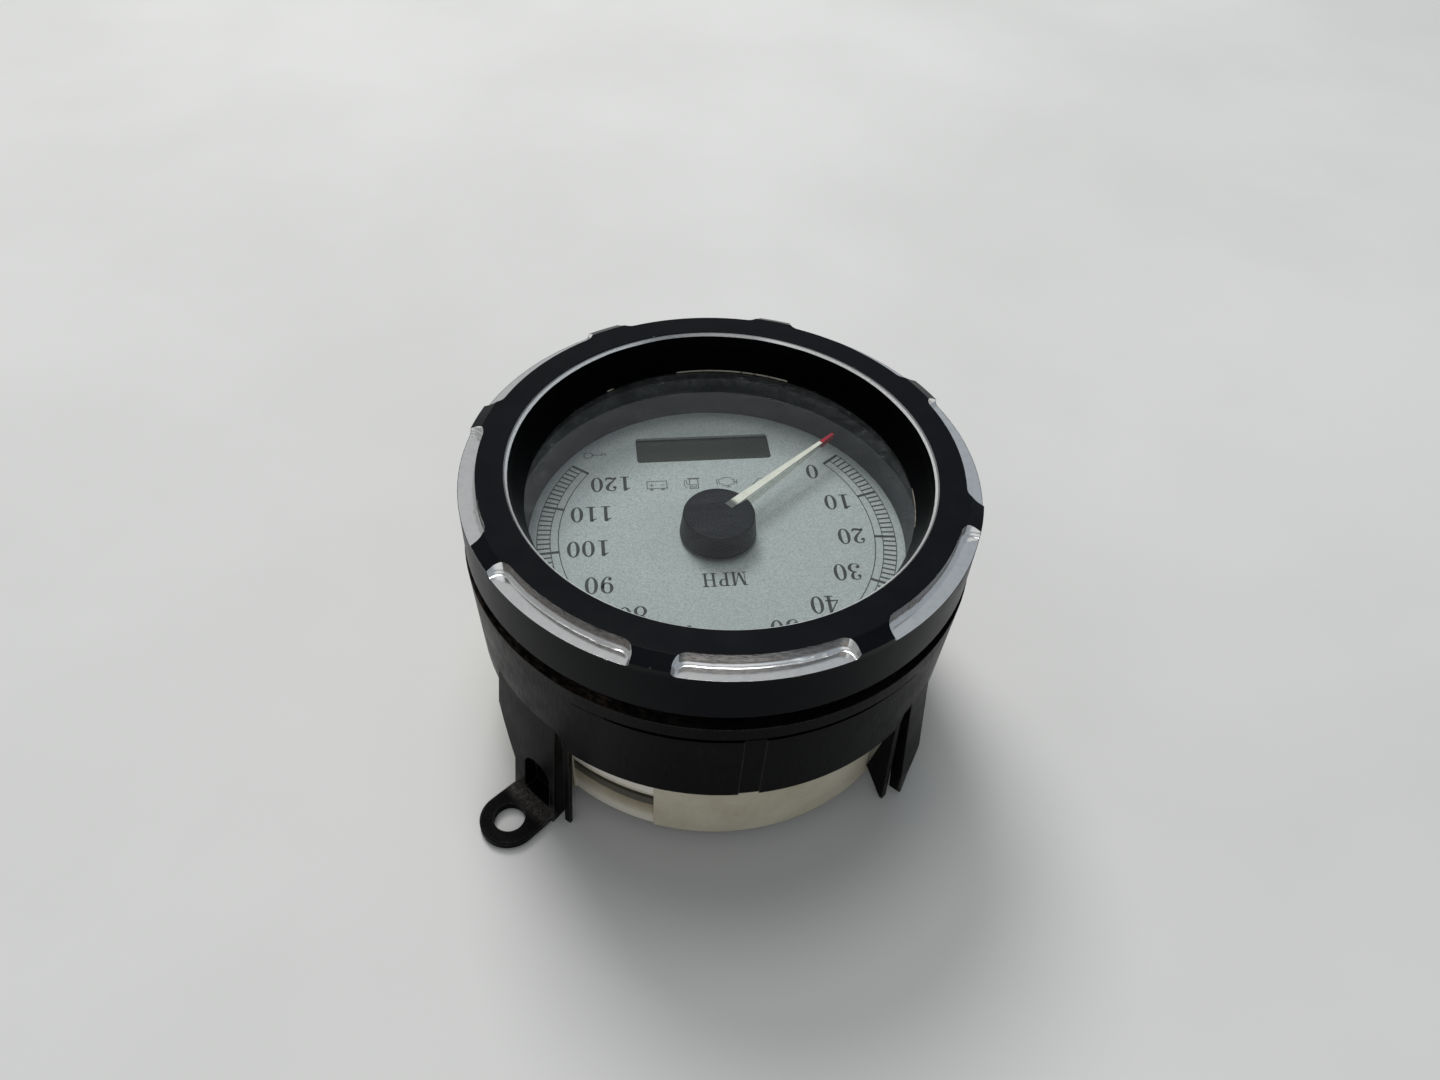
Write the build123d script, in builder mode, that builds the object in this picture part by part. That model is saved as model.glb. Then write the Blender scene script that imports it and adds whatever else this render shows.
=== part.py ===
from build123d import *
import os
from math import asin, cos, degrees, radians, sin

# Five-inch motorcycle speedometer in a billet trim bezel, with its mounting bracket. Millimetres.
# The dial's axis is +Z, its twelve o'clock is +Y, and the feet of the bracket stand on Z = 0.

os.makedirs("parts", exist_ok=True)

# ---------------------------------------------------------------- driving dimensions

# Heights, from the feet up
case_lift = 3.8              # underside of the case above the feet
case_floor = 2.5             # thickness of the case's floor
pillar_height = 17.7         # board pillars above the floor
board_t = 1.6                # both circuit boards
spacer_height = 21.0         # brass spacers between the two boards
housing_height = 9.4         # light housing between the upper board and the dial
dial_t = 0.8                 # dial plate
surround_height = 12.0       # ring between the dial and the gasket
gasket_t = 1.2               # rubber under the glass
glass_t = 2.5                # lens
rolled_t = 0.8               # sheet of the rolled bezel
tape_t = 0.8                 # foam tape on the rolled bezel
billet_roof = 9.6            # billet bezel above the tape
billet_height = 16.9         # billet bezel, skirt to top face
groove_width = 4.6           # gap that takes the edge of the console's panel
bracket_height = 30.7        # the bracket's ring without its legs

# Case, lens and rolled bezel
case_radius = 60.2           # case under its flange
case_draft = 0.8             # how much smaller the case is at its floor
case_wall = 2.2              # thinnest wall of the case
case_edge = 0.8              # radius round the underside
flange_step = 2.0            # flange at the case's mouth, beyond the case
flange_height = 4.2          # flange below the gasket's seat
rim_wall = 2.2               # rim around the gasket
rim_height = 3.0             # rim above the gasket's seat
gasket_wall = 1.4            # rubber round the glass
gasket_overlap = 3.6         # rubber under the glass, inwards from its edge
lip_overlap = 5.0            # rolled bezel over the glass, inwards from its edge
surround_wall = 5.9          # dial surround at the dial
surround_top_wall = 4.5      # dial surround under the gasket

# Billet bezel
billet_wall = 3.0            # skirt round the rolled bezel
billet_band = 15.8           # from the outside to the bore at the glass
throat_step = 3.4            # bore widens by this up to the bright chamfer
chamfer_width = 1.0          # bright inner chamfer, across
chamfer_depth = 1.05         # bright inner chamfer, down
nose_wall = 2.1              # nose that reaches down to the glass
shoulder_width = 3.5         # outer chamfer of the lands, across
shoulder_depth = 2.0         # outer chamfer of the lands, down
flute_count = 8
flute_phase = 2.2            # centre of the first flute, degrees from +X
flute_span = 37.0            # degrees at the outer wall
flute_width = 4.6            # radial width
flute_depth = 3.5
flute_corner = 3.5           # end radius seen from above
flute_root = 1.3             # radius between the wall and the floor

# Mounting bracket
bracket_relief = 1.7         # ring's bore beyond the collar that centres the case
bracket_wall = 2.8           # ring wall at its lower edge
bracket_draft = 1.5          # how much larger the ring is at its top edge
gasket_pocket = 1.5          # depth of the foam gasket's seat in the ring
collar_height = 3.0          # collar that centres the case
band_depth = 5.1             # from the ring's top edge down to the fine groove
band_groove = 0.5            # width and depth of the fine groove
band_span = 78.0             # degrees of fine groove at twelve and at six o'clock
tab_angle = 91.3             # degrees, middle of the moulded channel
tab_width = 5.2              # shallow moulded channel below the fine groove
tab_depth = 0.45
leg_flare_height = 40.0      # height at which the legs start to flare
leg_flare = 4.3              # legs stand out by this at the floor
lug_leg_start = 24.5         # degrees, where a leg with a lug leaves the ring
lug_leg_end = 46.0           # degrees, its edge at its slot
lug_slot_span = 1.7          # degrees between it and the finger beside it
shoulder_angle = 32.4        # degrees, where its narrow lower part starts
shoulder_low = 12.6          # it is narrow below this height
shoulder_high = 27.0         # it is full width above this height
finger_depth = 1.5           # radial depth of the finger beside it
plain_leg_start = 135.0      # degrees, edge of a leg without a lug, at its slot
plain_leg_end = 143.5        # degrees
plain_slot_span = 2.7        # degrees between it and its snap rib
plain_foot_t = 3.5           # its wall at the floor
toe_span = 0.5               # degrees of its foot that meet the floor
toe_knee_span = 2.8          # degrees from its edge to the knee in its foot
toe_knee_height = 4.9
toe_rise = 10.6              # height of its foot's far corner
slot_top = 38.6              # height of the slots' upper ends
rib_span = 1.6               # degrees, thickness of the fingers and ribs
rib_nose_height = 9.6        # height of the rib's nose against the case
rib_back_height = 24.0       # the rib leaves the case above this height
rib_flare = 1.7              # fingers and ribs stand out by this at the floor
rib_foot_width = 0.9

# Bolt lugs
lug_angle = 39.3             # degrees from +X, the other lug is opposite
lug_reach = 7.9              # bolt holes beyond the legs' feet
lug_hole_radius = 4.25
lug_rim = 3.75               # plate around the bolt hole
lug_t = 2.7
lug_edge = 0.4               # softened edge of the plate
pocket_width = 10.0          # arched pocket in the leg above the lug
pocket_angle = 40.5          # degrees, its middle
pocket_sill = 1.7            # sill between the lug and the pocket
pocket_top = 20.6
pocket_skin = 1.9            # wall behind the pocket

# Recess in the side of the case
recess_start = 45.0          # degrees
recess_end = 69.0            # degrees
recess_depth = 0.8
recess_groove_low = 12.2     # groove above the case's underside
recess_groove_high = 15.4
recess_groove_depth = 1.5
recess_top = 26.0            # above the case's underside

# Dial and light housing
window_length = 39.0
window_width = 10.5
window_x = 0.4
window_margin = 16.0         # window's middle from the dial's edge
window_corner = 1.0
shaft_hole_radius = 4.0
peg_radius = 1.0
housing_wall = 2.3
well_radius = 16.5           # light well round the pointer's shaft
cell_wall = 1.2
telltale_count = 4
telltale_rise = 14.8         # above the window's middle
telltale_pitch = 10.0
telltale_width = 7.6
telltale_depth = 6.0
key_margin = 4.5             # from the dial's edge
key_angle = 313.35           # degrees
key_well_radius = 4.0

# Pointer
rest_angle = 219.2           # degrees from +X, against the low stop
sweep = 259.0                # degrees, clockwise to the high stop
pointer_margin = 4.0         # pointer's tip from the dial's edge
pointer_root = 3.5           # radius at which the pointer's bar starts
pointer_root_width = 2.6
pointer_tip_width = 0.9
pointer_root_depth = 4.5
pointer_tip_depth = 1.6
pointer_above_dial = 8.5     # top of the pointer above the dial
cap_radius = 10.4
cap_top_radius = 9.6
cap_clearance = 1.2          # cap above the dial
cap_height = 7.0
cap_wall = 1.2
cap_edge = 0.6
hub_radius = 7.8
hub_height = 4.2
bushing_radius = 1.9
bushing_height = 3.6

# Air-core movement
shaft_radius = 0.75
can_radius = 15.0
can_t = 0.8
can_tab_width = 3.0
can_tab_length = 3.0
bobbin_base_t = 1.2
core_radius = 8.4
core_half_height = 5.5
neck_radius = 2.2
coil_offset = 2.5            # inner side of each coil bundle from the axis
coil_width = 3.2
coil_t = 1.4
coil_corner = 0.9
rotor_radius = 6.5
rotor_t = 3.6
rotor_hub_radius = 1.8
cavity_radius = 7.0
cavity_height = 5.0
stop_radius = 5.2            # chamber for the stop finger
stop_inner_radius = 3.4      # inner side of the stop block
stop_height = 1.8
finger_length = 4.6
finger_width = 1.2
finger_t = 1.1
bush_radius = 1.5
bush_height = 3.4
bush_low = 1.0               # bush above the core
terminal_radius = 0.4
terminal_place = 9.0
terminal_tail = 1.4          # below the lower board

# Boards and what they carry
board_gap = 0.7              # boards' edge to the case, beyond the usual gap
pillar_x = 41.7
pillar_y = 19.4
pillar_radius = 3.6
spacer_flats = 5.0
stud_radius = 1.25
stud_length = 10.0
pilot_extra = 2.0            # pilot hole beyond the stud
screw_length = 9.0
screw_head_radius = 2.7
screw_head_height = 1.7
lcd_length = 43.0
lcd_width = 15.0
lcd_t = 2.2
lcd_gap = 0.5                # display below the dial
lcd_frame_wall = 0.7
zebra_width = 1.8
zebra_offset = 6.3           # from the display's centre line
guide_length = 38.0
guide_width = 8.6
led_length = 3.2
led_width = 2.8
led_height = 1.9
led_ring_radius = 33.0
led_ring_count = 8
led_ring_start = -25.0       # degrees
led_ring_arc = 230.0         # degrees
pointer_led_radius = 9.0
guide_led_x = 12.0
link_margin = 16.2           # pin header from the boards' edge
link_pins = 10
link_pitch = 2.54
link_pin = 0.64
link_body = 2.5
lead_width = 0.4
lead_t = 0.25
lead_reach = 1.4
lead_rise = 1.0
qfp_size = 14.0
qfp_leads = 8                # along each side
qfp_pitch = 1.3
qfp_x = 29.0
soic_length = 10.3
soic_width = 7.5
soic_leads = 8
soic_pitch = 1.2
soic_x = -28.0
soic_y = 11.0
chip_t = 2.0
chip_gap = 0.1               # chip above the board
capacitor_radius = 4.0
capacitor_height = 10.0
capacitor_pitch = 11.0
capacitor_y = -28.0
regulator_x = 26.0
regulator_y = -20.0
regulator_width = 6.6
regulator_depth = 6.0
regulator_t = 2.3
tab_t = 0.5
tab_reach = 2.4

# Connector and vent in the floor
header_y = 24.0
header_length = 34.0
header_width = 19.0
header_corner = 2.0
header_wall = 2.0
header_below = 1.6           # mouth of the socket below the case
socket_depth = 12.0
socket_key = 1.2             # keying rib in the socket
flange_margin = 3.0
header_flange_t = 1.6
seal_t = 1.2
contact_columns = 6
contact_rows = 2
contact_pitch = 4.0
contact_row_pitch = 5.0
contact_size = 1.0
contact_length = 7.0         # inside the socket
contact_tail = 1.6           # above the lower board
vent_x = -34.0
vent_radius = 2.9
vent_flange_radius = 5.0
vent_flange_t = 1.0
vent_barb = 0.5

# Clearances
running_gap = 0.05           # shaft in its bearings
press_gap = 0.02             # bush in its bore
fit_gap = 0.1                # small parts in their seats
assembly_gap = 0.3           # turned parts beside each other

# ---------------------------------------------------------------- derived levels and radii

floor_top = case_lift + case_floor
main_board_z = floor_top + pillar_height
main_top = main_board_z + board_t
display_board_z = main_top + spacer_height
display_top = display_board_z + board_t
dial_underside = display_top + housing_height
dial_z = dial_underside + dial_t
seat_z = dial_z + surround_height
glass_z = seat_z + gasket_t
glass_top = glass_z + glass_t
rolled_top = glass_top + rolled_t
tape_top = rolled_top + tape_t
billet_top = tape_top + billet_roof
billet_base = billet_top - billet_height
bracket_top = billet_base - groove_width
bracket_base = bracket_top - bracket_height

case_foot_radius = case_radius - case_draft
case_bore = case_foot_radius - case_wall
inner_radius = case_bore - assembly_gap
board_radius = inner_radius - board_gap
flange_base = seat_z - flange_height
flange_radius = case_radius + flange_step
gasket_well = flange_radius - rim_wall
gasket_radius = gasket_well - fit_gap
gasket_bore = gasket_radius - gasket_wall
glass_radius = gasket_bore - fit_gap
gasket_inner = glass_radius - gasket_overlap
rolled_lip_radius = glass_radius - lip_overlap
rolled_inner = flange_radius + 2 * fit_gap
rolled_radius = rolled_inner + rolled_t
rolled_base = flange_base - rolled_t
surround_bore = inner_radius - surround_wall
surround_top_bore = inner_radius - surround_top_wall
counterbore = rolled_radius + assembly_gap
billet_radius = counterbore + billet_wall
billet_bore = billet_radius - billet_band
billet_throat = billet_bore + throat_step
billet_mouth = billet_throat + chamfer_width
flute_wall_radius = billet_radius - flute_width
nose_z = glass_top + assembly_gap
collar_bore = case_radius + 2 * assembly_gap
bracket_bore = collar_bore + bracket_relief
bracket_low_radius = bracket_bore + bracket_wall
bracket_radius = bracket_low_radius + bracket_draft
foam_radius = rolled_radius - assembly_gap
foam_z = bracket_top - gasket_pocket
collar_base = foam_z - collar_height
leg_foot_radius = bracket_low_radius + leg_flare
rib_foot_radius = bracket_low_radius + rib_flare
pocket_floor_radius = bracket_bore + pocket_skin
lug_radius = leg_foot_radius + lug_reach
lug_end_radius = lug_hole_radius + lug_rim

window_y = window_margin - surround_bore
telltale_y = window_y + telltale_rise
key_x = (surround_bore - key_margin) * cos(radians(key_angle))
key_y = (surround_bore - key_margin) * sin(radians(key_angle))
pointer_length = surround_bore - pointer_margin
link_y = board_radius - link_margin

pointer_top = dial_z + pointer_above_dial
cap_base = dial_z + cap_clearance
cap_top = cap_base + cap_height
cap_bore = cap_top_radius - cap_wall
cap_roof = cap_top - cap_wall
hub_top = cap_roof - fit_gap
hub_base = hub_top - hub_height
shaft_top = hub_base + bushing_height

base_top = main_top + bobbin_base_t
outer_coil_low = base_top + fit_gap
inner_coil_low = outer_coil_low + coil_t + fit_gap
core_base = inner_coil_low + coil_t + fit_gap
core_split = core_base + core_half_height
core_top = core_split + core_half_height
inner_coil_high = core_top + fit_gap + coil_t
outer_coil_high = inner_coil_high + fit_gap + coil_t
can_roof = outer_coil_high + assembly_gap
can_top = can_roof + can_t
can_bore = can_radius - can_t
cavity_low = core_split - cavity_height / 2
cavity_high = core_split + cavity_height / 2
stop_top = cavity_high + stop_height
inner_coil_reach = core_radius + fit_gap
outer_coil_reach = inner_coil_reach + coil_t + fit_gap
shaft_base = base_top + assembly_gap
bush_z = core_top + bush_low
lcd_z = dial_underside - lcd_gap - lcd_t


def polar(radius, angle):
    """Point in plan at a radius and an angle in degrees."""
    return (radius * cos(radians(angle)), radius * sin(radians(angle)))


def radial_plane(angle):
    """Upright plane through the axis: local x runs outwards, local y runs up."""
    x, y = polar(1, angle)
    return Plane(origin=(0, 0, 0), x_dir=(x, y, 0), z_dir=(y, -x, 0))


def facing_plane(angle, radius):
    """Upright plane that faces outwards: local x runs anticlockwise, local y runs up."""
    x, y = polar(1, angle)
    return Plane(origin=(radius * x, radius * y, 0), x_dir=(-y, x, 0), z_dir=(x, y, 0))


def plan_plane(angle, height):
    """Level plane whose local x runs outwards at an angle."""
    x, y = polar(1, angle)
    return Plane(origin=(0, 0, height), x_dir=(x, y, 0), z_dir=(0, 0, 1))


def sector(inner, outer, start, end):
    """Face of a ring sector in the current sketch, between two angles in degrees."""
    middle = (start + end) / 2
    with BuildLine() as outline:
        ThreePointArc(polar(outer, start), polar(outer, middle), polar(outer, end))
        Line(polar(outer, end), polar(inner, end))
        ThreePointArc(polar(inner, end), polar(inner, middle), polar(inner, start))
        Line(polar(inner, start), polar(outer, start))
    make_face(outline.edges())


def ring(inner, outer):
    """Flat ring in the current sketch."""
    Circle(outer)
    Circle(inner, mode=Mode.SUBTRACT)


def case_surface(height):
    """Radius of the case's drafted side."""
    return case_foot_radius + case_draft * (height - case_lift) / (flange_base - case_lift)


def bracket_surface(height):
    """Radius of the bracket's drafted ring."""
    return bracket_low_radius + bracket_draft * (height - bracket_base) / bracket_height


def finish(part, label):
    """Name a finished piece and write it."""
    part.label = label
    export_step(part, f"parts/{label}.step")


# ---------------------------------------------------------------- billet bezel

with BuildPart() as flute_cutter:
    with BuildSketch(Plane.XY.offset(billet_top - flute_depth)) as flute_plan:
        sector(flute_wall_radius, billet_radius + flute_corner, -flute_span / 2, flute_span / 2)
        fillet(flute_plan.vertices().sort_by(Axis.X)[:2], flute_corner)
    extrude(amount=flute_depth + shoulder_depth)
    flute_floor = flute_cutter.faces().sort_by(Axis.Z)[0]
    fillet(flute_floor.edges().filter_by(lambda edge: edge.center().X < billet_radius), flute_root)

with BuildPart() as billet_bezel:
    with BuildSketch(Plane.XZ):
        Polygon(
            (billet_bore, nose_z),
            (billet_throat, billet_top - chamfer_depth),
            (billet_mouth, billet_top),
            (billet_radius - shoulder_width, billet_top),
            (billet_radius, billet_top - shoulder_depth),
            (billet_radius, billet_base),
            (counterbore, billet_base),
            (counterbore, tape_top),
            (billet_bore + nose_wall, tape_top),
            (billet_bore + nose_wall, nose_z),
        )
    revolve(axis=Axis.Z)
    with PolarLocations(0, flute_count, start_angle=flute_phase):
        add(flute_cutter.part, mode=Mode.SUBTRACT)

finish(billet_bezel.part, "billet_bezel")

with BuildPart() as bezel_tape_ring:
    with BuildSketch(Plane.XY.offset(rolled_top)):
        ring(rolled_lip_radius + fit_gap, rolled_radius - rolled_t)
    extrude(amount=tape_t)

finish(bezel_tape_ring.part, "bezel_tape_ring")

# ---------------------------------------------------------------- rolled bezel, glass and gasket

with BuildPart() as rolled_bezel:
    with BuildSketch(Plane.XZ):
        Polygon(
            (rolled_lip_radius, glass_top),
            (rolled_lip_radius, rolled_top),
            (rolled_radius, rolled_top),
            (rolled_radius, rolled_base),
            (collar_bore, rolled_base),
            (collar_bore, flange_base),
            (rolled_inner, flange_base),
            (rolled_inner, glass_top),
        )
    revolve(axis=Axis.Z)
    upper_rim = rolled_bezel.edges().group_by(Axis.Z)[-1].sort_by(SortBy.LENGTH)[-1]
    lower_rim = rolled_bezel.edges().group_by(Axis.Z)[0].sort_by(SortBy.LENGTH)[-1]
    fillet([upper_rim, lower_rim], rolled_t * 0.75)

finish(rolled_bezel.part, "rolled_bezel")

with BuildPart() as glass_lens:
    with BuildSketch(Plane.XY.offset(glass_z)):
        Circle(glass_radius)
    extrude(amount=glass_t)
    chamfer(glass_lens.edges(), assembly_gap)

finish(glass_lens.part, "glass_lens")

with BuildPart() as lens_gasket:
    with BuildSketch(Plane.XZ):
        Polygon(
            (gasket_inner, seat_z),
            (gasket_radius, seat_z),
            (gasket_radius, glass_top - fit_gap),
            (gasket_bore, glass_top - fit_gap),
            (gasket_bore, glass_z),
            (gasket_inner, glass_z),
        )
    revolve(axis=Axis.Z)

finish(lens_gasket.part, "lens_gasket")

# ---------------------------------------------------------------- case

with BuildPart() as case_body:
    with BuildSketch(Plane.XZ):
        Polygon(
            (0, case_lift),
            (case_foot_radius, case_lift),
            (case_radius, flange_base),
            (flange_radius, flange_base),
            (flange_radius, seat_z + rim_height),
            (gasket_well, seat_z + rim_height),
            (gasket_well, seat_z),
            (case_bore, seat_z),
            (case_bore, floor_top),
            (0, floor_top),
        )
    revolve(axis=Axis.Z)
    fillet(case_body.edges().group_by(Axis.Z)[0], case_edge)
    with BuildSketch(Plane.XY.offset(floor_top)):
        with GridLocations(2 * pillar_x, 2 * pillar_y, 2, 2):
            Circle(pillar_radius)
    extrude(amount=pillar_height)
    with BuildSketch(Plane.XY.offset(main_board_z)):
        with GridLocations(2 * pillar_x, 2 * pillar_y, 2, 2):
            Circle(stud_radius + fit_gap)
    extrude(amount=-(stud_length + pilot_extra), mode=Mode.SUBTRACT)
    with BuildSketch(Plane.XY.offset(case_lift)):
        with Locations((0, header_y)):
            RectangleRounded(
                header_length + 2 * assembly_gap,
                header_width + 2 * assembly_gap,
                header_corner + assembly_gap,
            )
        with Locations((vent_x, 0)):
            Circle(vent_radius + fit_gap)
    extrude(amount=case_floor, mode=Mode.SUBTRACT)
    groove_low = case_lift + recess_groove_low
    groove_high = case_lift + recess_groove_high
    recess_end_z = case_lift + recess_top
    for recess_turn in (0, 180):
        with BuildSketch(radial_plane(recess_start + recess_turn)):
            Polygon(
                (flange_radius, 0),
                (case_surface(0) - recess_depth, 0),
                (case_surface(groove_low) - recess_depth, groove_low),
                (case_surface(groove_low) - recess_groove_depth, groove_low),
                (case_surface(groove_high) - recess_groove_depth, groove_high),
                (case_surface(groove_high), groove_high),
                (case_surface(recess_end_z) - recess_depth, recess_end_z),
                (flange_radius, recess_end_z),
            )
        revolve(axis=Axis.Z, revolution_arc=recess_end - recess_start, mode=Mode.SUBTRACT)

finish(case_body.part, "case_body")

# ---------------------------------------------------------------- mounting bracket

lug_leg_span = lug_leg_end - lug_leg_start
plain_leg_span = plain_leg_end - plain_leg_start
lug_leg_starts = (lug_leg_start, lug_leg_start + 180)
plain_leg_starts = (plain_leg_start, plain_leg_start + 180)
finger_starts = [start + lug_leg_span + lug_slot_span for start in lug_leg_starts]
rib_starts = [start - plain_slot_span - rib_span for start in plain_leg_starts]
lug_slots = [(start - lug_slot_span, start) for start in finger_starts]
plain_slots = [(start - plain_slot_span, start) for start in plain_leg_starts]
slot_z = bracket_base - bracket_wall
rib_nose_radius = case_surface(rib_nose_height) + assembly_gap
mean_leg_radius = (bracket_low_radius + leg_foot_radius) / 2
root_depth = bracket_wall / 4
cut_radius = collar_bore - bracket_wall
cut_depth = leg_foot_radius + bracket_wall - cut_radius
heel = bracket_bore + lug_t
heel_low = heel * sin(radians(shoulder_angle - lug_angle))
heel_high = heel * sin(radians(lug_leg_end - lug_angle))


def across(angle):
    """Distance across a leg's face for an angle from its centre plane."""
    return mean_leg_radius * sin(radians(angle))


with BuildPart() as bolt_lug:
    with BuildSketch(Plane.XY):
        with BuildLine():
            CenterArc((lug_radius, 0), lug_end_radius, 0, 360)
            Line((heel, heel_low), (heel, heel_high))
        make_hull()
    extrude(amount=lug_t)
    rims = bolt_lug.edges().group_by(Axis.Z)[0] + bolt_lug.edges().group_by(Axis.Z)[-1]
    chamfer(rims.filter_by(lambda edge: edge.center().X > heel + lug_edge), lug_edge)
    with BuildSketch(Plane.XY):
        with Locations((lug_radius, 0)):
            Circle(lug_hole_radius)
    extrude(amount=lug_t, mode=Mode.SUBTRACT)

with BuildPart() as mounting_bracket:
    with BuildSketch(Plane.XZ):
        Polygon(
            (bracket_low_radius, bracket_base),
            (bracket_radius, bracket_top),
            (foam_radius + fit_gap, bracket_top),
            (foam_radius + fit_gap, foam_z),
            (collar_bore, foam_z),
            (collar_bore, collar_base),
            (bracket_bore, collar_base),
            (bracket_bore, bracket_base),
        )
    revolve(axis=Axis.Z)

    # Legs, flared outwards to their feet
    for start in lug_leg_starts + plain_leg_starts:
        has_lug = start in lug_leg_starts
        foot_bore = bracket_bore if has_lug else leg_foot_radius - plain_foot_t
        with BuildSketch(radial_plane(start)):
            Polygon(
                (foot_bore, 0),
                (leg_foot_radius, 0),
                (bracket_surface(leg_flare_height), leg_flare_height),
                (bracket_bore + root_depth, leg_flare_height),
                (bracket_bore + root_depth, bracket_base + root_depth),
                (bracket_bore, bracket_base),
            )
        revolve(axis=Axis.Z, revolution_arc=lug_leg_span if has_lug else plain_leg_span)

    # A leg with a lug narrows below its shoulder, on the side away from its slot
    for start in lug_leg_starts:
        narrow = across(shoulder_angle - lug_leg_start - lug_leg_span / 2)
        wide = across(-lug_leg_span / 2)
        with BuildSketch(facing_plane(start + lug_leg_span / 2, cut_radius)):
            Polygon(
                (narrow, -lug_t),
                (narrow, shoulder_low),
                (wide, shoulder_high),
                (2 * wide, shoulder_high),
                (2 * wide, -lug_t),
            )
        extrude(amount=cut_depth, mode=Mode.SUBTRACT)

    # A plain leg's foot slopes up from the toe beside its slot
    for start in plain_leg_starts:
        toe = across(toe_span - plain_leg_span / 2)
        knee = across(toe_knee_span - plain_leg_span / 2)
        far = across(plain_leg_span / 2)
        with BuildSketch(facing_plane(start + plain_leg_span / 2, cut_radius)):
            Polygon(
                (toe, 0),
                (knee, toe_knee_height),
                (far, toe_rise),
                (2 * far, toe_rise),
                (2 * far, -lug_t),
                (toe, -lug_t),
            )
        extrude(amount=cut_depth, mode=Mode.SUBTRACT)

    # Bolt lugs, with an arched pocket in the leg above
    with PolarLocations(0, 2, start_angle=lug_angle):
        add(bolt_lug.part)
    for turn in (0, 180):
        arch_z = pocket_top - pocket_width / 2
        sill_z = lug_t + pocket_sill
        with BuildSketch(facing_plane(pocket_angle + turn, pocket_floor_radius)):
            with Locations((0, arch_z)):
                Circle(pocket_width / 2)
            with Locations((0, (arch_z + sill_z) / 2)):
                Rectangle(pocket_width, arch_z - sill_z)
        extrude(amount=leg_foot_radius - pocket_floor_radius + lug_t, mode=Mode.SUBTRACT)

    # Slots beside the legs, cut up into the ring
    for start, end in lug_slots + plain_slots:
        with BuildSketch(Plane.XY.offset(slot_z)):
            sector(collar_bore, bracket_radius + bracket_wall, start, end)
        extrude(amount=slot_top - slot_z, mode=Mode.SUBTRACT)

    # Slim fingers beside the legs with lugs
    for start in finger_starts:
        with BuildSketch(radial_plane(start)):
            Polygon(
                (rib_foot_radius - rib_foot_width, 0),
                (rib_foot_radius, 0),
                (bracket_low_radius, bracket_base),
                (bracket_low_radius - root_depth, bracket_base + root_depth),
                (bracket_low_radius - finger_depth + root_depth, bracket_base + root_depth),
                (bracket_low_radius - finger_depth, bracket_base),
            )
        revolve(axis=Axis.Z, revolution_arc=rib_span)

    # Snap ribs whose noses bear on the case
    for start in rib_starts:
        with BuildSketch(radial_plane(start)):
            Polygon(
                (rib_foot_radius - rib_foot_width, 0),
                (rib_foot_radius, 0),
                (bracket_low_radius, bracket_base),
                (bracket_low_radius - root_depth, bracket_base + root_depth),
                (bracket_bore + root_depth, bracket_base + root_depth),
                (bracket_bore, bracket_base),
                (bracket_bore, rib_back_height),
                (rib_nose_radius, rib_nose_height),
            )
        revolve(axis=Axis.Z, revolution_arc=rib_span)

    # Fine groove under the top band, and the moulded channel below it
    groove_z = bracket_top - band_depth
    tab_span = degrees(tab_width / bracket_low_radius)
    for middle in (tab_angle, tab_angle + 180):
        with BuildSketch(radial_plane(middle - band_span / 2)):
            with Locations((bracket_surface(groove_z), groove_z)):
                Rectangle(2 * band_groove, band_groove)
        revolve(axis=Axis.Z, revolution_arc=band_span, mode=Mode.SUBTRACT)
        with BuildSketch(radial_plane(middle - tab_span / 2)):
            Polygon(
                (bracket_surface(0) - tab_depth, 0),
                (bracket_surface(groove_z) - tab_depth, groove_z),
                (bracket_radius + tab_depth, groove_z),
                (bracket_radius + tab_depth, 0),
            )
        revolve(axis=Axis.Z, revolution_arc=tab_span, mode=Mode.SUBTRACT)

finish(mounting_bracket.part, "mounting_bracket")

with BuildPart() as bracket_gasket:
    with BuildSketch(Plane.XY.offset(foam_z)):
        ring(collar_bore, foam_radius)
    extrude(amount=rolled_base - foam_z)

finish(bracket_gasket.part, "bracket_gasket")

# ---------------------------------------------------------------- dial, surround and light housing

peg_place = inner_radius - housing_wall / 2

with BuildPart() as dial_surround:
    with BuildSketch(Plane.XZ):
        Polygon(
            (surround_bore, dial_z),
            (inner_radius, dial_z),
            (inner_radius, seat_z),
            (surround_top_bore, seat_z),
        )
    revolve(axis=Axis.Z)

finish(dial_surround.part, "dial_surround")

with BuildPart() as dial_plate:
    with BuildSketch(Plane.XY.offset(dial_underside)):
        Circle(inner_radius)
        Circle(shaft_hole_radius, mode=Mode.SUBTRACT)
        with Locations((window_x, window_y)):
            RectangleRounded(window_length, window_width, window_corner, mode=Mode.SUBTRACT)
        with PolarLocations(peg_place, 2):
            Circle(peg_radius + fit_gap, mode=Mode.SUBTRACT)
    extrude(amount=dial_t)

finish(dial_plate.part, "dial_plate")

frame_length = lcd_length + 2 * (lcd_frame_wall + fit_gap)
frame_width = lcd_width + 2 * (lcd_frame_wall + fit_gap)
cell_length = frame_length + 2 * fit_gap
cell_width = frame_width + 2 * fit_gap
cell_top_y = window_y + cell_width / 2 + cell_wall
cell_low_y = window_y - cell_width / 2
led_pitch = led_ring_arc / (led_ring_count - 1)
web_turns = (0.5, 2.5, 4.5, 6.5)
housing_bore = inner_radius - housing_wall
telltale_row = (telltale_count - 1) * telltale_pitch + telltale_width
telltale_upper = telltale_y + telltale_depth / 2 + cell_wall
key_link_start = window_x + cell_length / 2

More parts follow.
